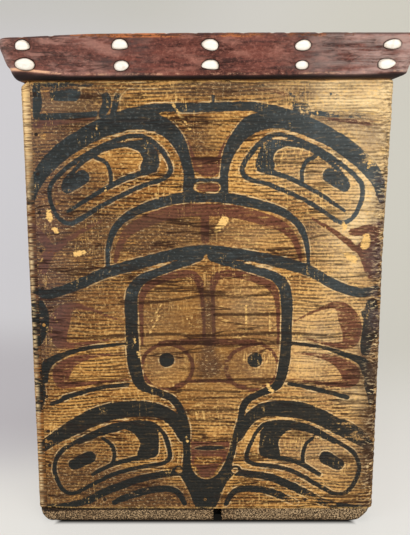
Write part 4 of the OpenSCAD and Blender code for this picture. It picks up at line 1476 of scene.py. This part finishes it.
def build_sweep(s):
    """A pale floor that curves up into a backdrop."""
    half, front, back, tall, bend = 3.0, -4.0, 1.6, 3.4, 0.9
    section = [(y, 0.0) for y in (front, -1.2, -0.4, 0.3, back - bend)]
    section += [(back - bend + bend * math.sin(a), bend - bend * math.cos(a)) for a in arc(0, 90, 12)]
    section += [(back, tall)]
    across = np.linspace(-half, half, 9)
    points = [(x / MM, y / MM, z / MM) for y, z in section for x in across]
    index = np.arange(len(points)).reshape(len(section), len(across))
    quads = np.stack([index[:-1, :-1], index[:-1, 1:], index[1:, 1:], index[1:, :-1]], -1)
    sweep = mesh_piece("sweep", points, quads.reshape(-1, 4).tolist())
    sweep.data.materials.append(sweep_finish(s))


def sweep_finish(s):
    """Paper that shades off to the back, cool at the left and warm at the right."""
    f = Finish("sweep_paper")
    place = f.object_place()
    x, y, z = (f.axis(place, k) for k in range(3))
    side = x.ramp(-0.7, 0.7)
    back_from = y + z
    far = ((back_from + 0.2) / (side * 0.75 + 0.1)).ramp(0.0, 1.0)
    dusk = back_from.ramp(-0.1, 0.15) * back_from.ramp(0.9, 0.4) * side.ramp(0.5, 0.2)
    tone = f.mix(f.mix(s.floor, f.mix(s.cool, s.warm, side), far), s.dusk, dusk)
    tone = f.tint(tone, HIGH_SHADE, back_from.ramp(2.3, 2.6) * side.ramp(0.8, 0.2))
    # no light gets under the box
    beside = (abs(x) - HALF_W * MM + 0.022).most(abs(y) - HALF_D * MM)
    tone = f.tint(tone, BOX_SHADE, beside.ramp(0.006, -0.004) * z.ramp(0.02, 0.01))
    paper = f.node("ShaderNodeBsdfDiffuse", inputs={0: tone})
    glow = f.node("ShaderNodeEmission", inputs={0: tone, 1: 1.0})
    rays = ("Is Camera Ray", "Is Glossy Ray", "Is Transmission Ray")
    seen = sum(f.node("ShaderNodeLightPath", output=ray) for ray in rays).least(1.0) * 0.7
    shader = f.node("ShaderNodeMixShader", inputs={0: seen, 1: paper, 2: glow})
    f.node("ShaderNodeOutputMaterial", inputs={0: shader})
    return f.material


# What shade leaves of the backdrop high up on the left, and of the floor under the box
HIGH_SHADE, BOX_SHADE = (0.89, 0.89, 0.82), (0.015, 0.014, 0.013)

# Each lamp's name, place, aim, size, power and colour
LAMPS = (
    ("key", (0.9, -2.15, 0.95), (0, -0.1, 0.3), 1.3, 34, (1.0, 0.97, 0.92)),
    ("fill", (-1.8, -1.7, 0.9), (0, -0.1, 0.3), 1.6, 16, (0.97, 0.98, 1.0)),
    ("top", (0.0, 0.2, 2.3), (0, 0, 0.4), 1.6, 16, (1.0, 1.0, 1.0)),
)


def build_lights():
    """A soft world and three soft lamps."""
    world = bpy.data.worlds.new("studio")
    world.use_nodes = True
    ground = world.node_tree.nodes["Background"]
    ground.inputs["Color"].default_value = (1.0, 0.99, 0.98, 1.0)
    ground.inputs["Strength"].default_value = 0.55
    bpy.context.scene.world = world
    for name, place, aim, size, power, tone in LAMPS:
        lamp = bpy.data.lights.new(name, "AREA")
        lamp.size, lamp.energy, lamp.color = size, power, tone
        held = bpy.data.objects.new(name, lamp)
        held.location = place
        held.rotation_euler = (Vector(aim) - Vector(place)).to_track_quat("-Z", "Y").to_euler()
        bpy.context.collection.objects.link(held)


def build_camera(s):
    """The camera at the photograph's angle."""
    lens = bpy.data.cameras.new("camera")
    lens.sensor_fit, lens.sensor_height, lens.sensor_width = "VERTICAL", 36.0, 36.0
    lens.lens = s.lens
    camera = bpy.data.objects.new("camera", lens)
    camera.location = (0, -s.distance, s.height)
    camera.rotation_euler = (math.pi / 2 - s.pitch, 0, 0)
    bpy.context.collection.objects.link(camera)
    bpy.context.scene.camera = camera
    bpy.context.scene.view_settings.view_transform = "Standard"


# Operators


class BENTWOOD_OT_sides(bpy.types.Operator):
    """Make the bent and painted plank"""

    bl_idname = "bentwood.sides"
    bl_label = "Sides"

    def execute(self, context):
        s = context.scene.bentwood_plank
        build_sides(s, sides_finish(s))
        return {"FINISHED"}


class BENTWOOD_OT_bottom(bpy.types.Operator):
    """Make the bottom board"""

    bl_idname = "bentwood.bottom"
    bl_label = "Bottom board"

    def execute(self, context):
        s = context.scene.bentwood_bottom
        build_bottom(s, context.scene.bentwood_plank, bottom_finish(s))
        return {"FINISHED"}


class BENTWOOD_OT_pegs(bpy.types.Operator):
    """Finish the pegs of the corner and the bottom"""

    bl_idname = "bentwood.pegs"
    bl_label = "Pegs"

    def execute(self, context):
        finish = peg_finish(context.scene.bentwood_plank)
        for name in PEGS:
            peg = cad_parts[name]
            for slot in peg.material_slots:
                slot.material = finish
        return {"FINISHED"}


class BENTWOOD_OT_lid(bpy.types.Operator):
    """Make the carved lid"""

    bl_idname = "bentwood.lid"
    bl_label = "Lid"

    def execute(self, context):
        scene = context.scene
        face = LidFace(scene.bentwood_lid, scene.bentwood_shells)
        finish = lid_finish(scene.bentwood_lid, scene.bentwood_plank, scene.bentwood_shells.grime)
        build_lid(scene.bentwood_lid, scene.bentwood_plank, face, finish)
        return {"FINISHED"}


class BENTWOOD_OT_shells(bpy.types.Operator):
    """Make the opercula set in the lid"""

    bl_idname = "bentwood.shells"
    bl_label = "Opercula"

    def execute(self, context):
        scene = context.scene
        face = LidFace(scene.bentwood_lid, scene.bentwood_shells)
        build_shells(scene.bentwood_shells, face, shell_finish(scene.bentwood_shells))
        return {"FINISHED"}


class BENTWOOD_OT_stage(bpy.types.Operator):
    """Make the floor, lamps and camera"""

    bl_idname = "bentwood.stage"
    bl_label = "Stage"

    def execute(self, context):
        s = context.scene.bentwood_stage
        build_sweep(s)
        build_lights()
        build_camera(s)
        return {"FINISHED"}


SETTINGS = {
    "bentwood_plank": PlankSettings,
    "bentwood_bottom": BottomSettings,
    "bentwood_lid": LidSettings,
    "bentwood_shells": ShellSettings,
    "bentwood_stage": StageSettings,
}
OPERATORS = (
    BENTWOOD_OT_sides,
    BENTWOOD_OT_bottom,
    BENTWOOD_OT_pegs,
    BENTWOOD_OT_lid,
    BENTWOOD_OT_shells,
    BENTWOOD_OT_stage,
)


class BENTWOOD_PT_panel(bpy.types.Panel):
    """Lists the box's pieces and settings"""

    bl_label = "Bentwood Box"
    bl_space_type = "VIEW_3D"
    bl_region_type = "UI"
    bl_category = "Bentwood"

    def draw(self, context):
        for operator in OPERATORS:
            self.layout.operator(operator.bl_idname)
        for key, group in SETTINGS.items():
            box = self.layout.box()
            for prop in group.__annotations__:
                box.prop(getattr(context.scene, key), prop)


CLASSES = (*SETTINGS.values(), *OPERATORS, BENTWOOD_PT_panel)


def register():
    for cls in CLASSES:
        bpy.utils.register_class(cls)
    for key, group in SETTINGS.items():
        setattr(bpy.types.Scene, key, PointerProperty(type=group))


def unregister():
    for key in SETTINGS:
        delattr(bpy.types.Scene, key)
    for cls in reversed(CLASSES):
        bpy.utils.unregister_class(cls)


def main():
    """Make every piece in turn."""
    register()
    for operator in OPERATORS:
        group, name = operator.bl_idname.split(".")
        getattr(getattr(bpy.ops, group), name)()


if __name__ == "__main__":
    main()
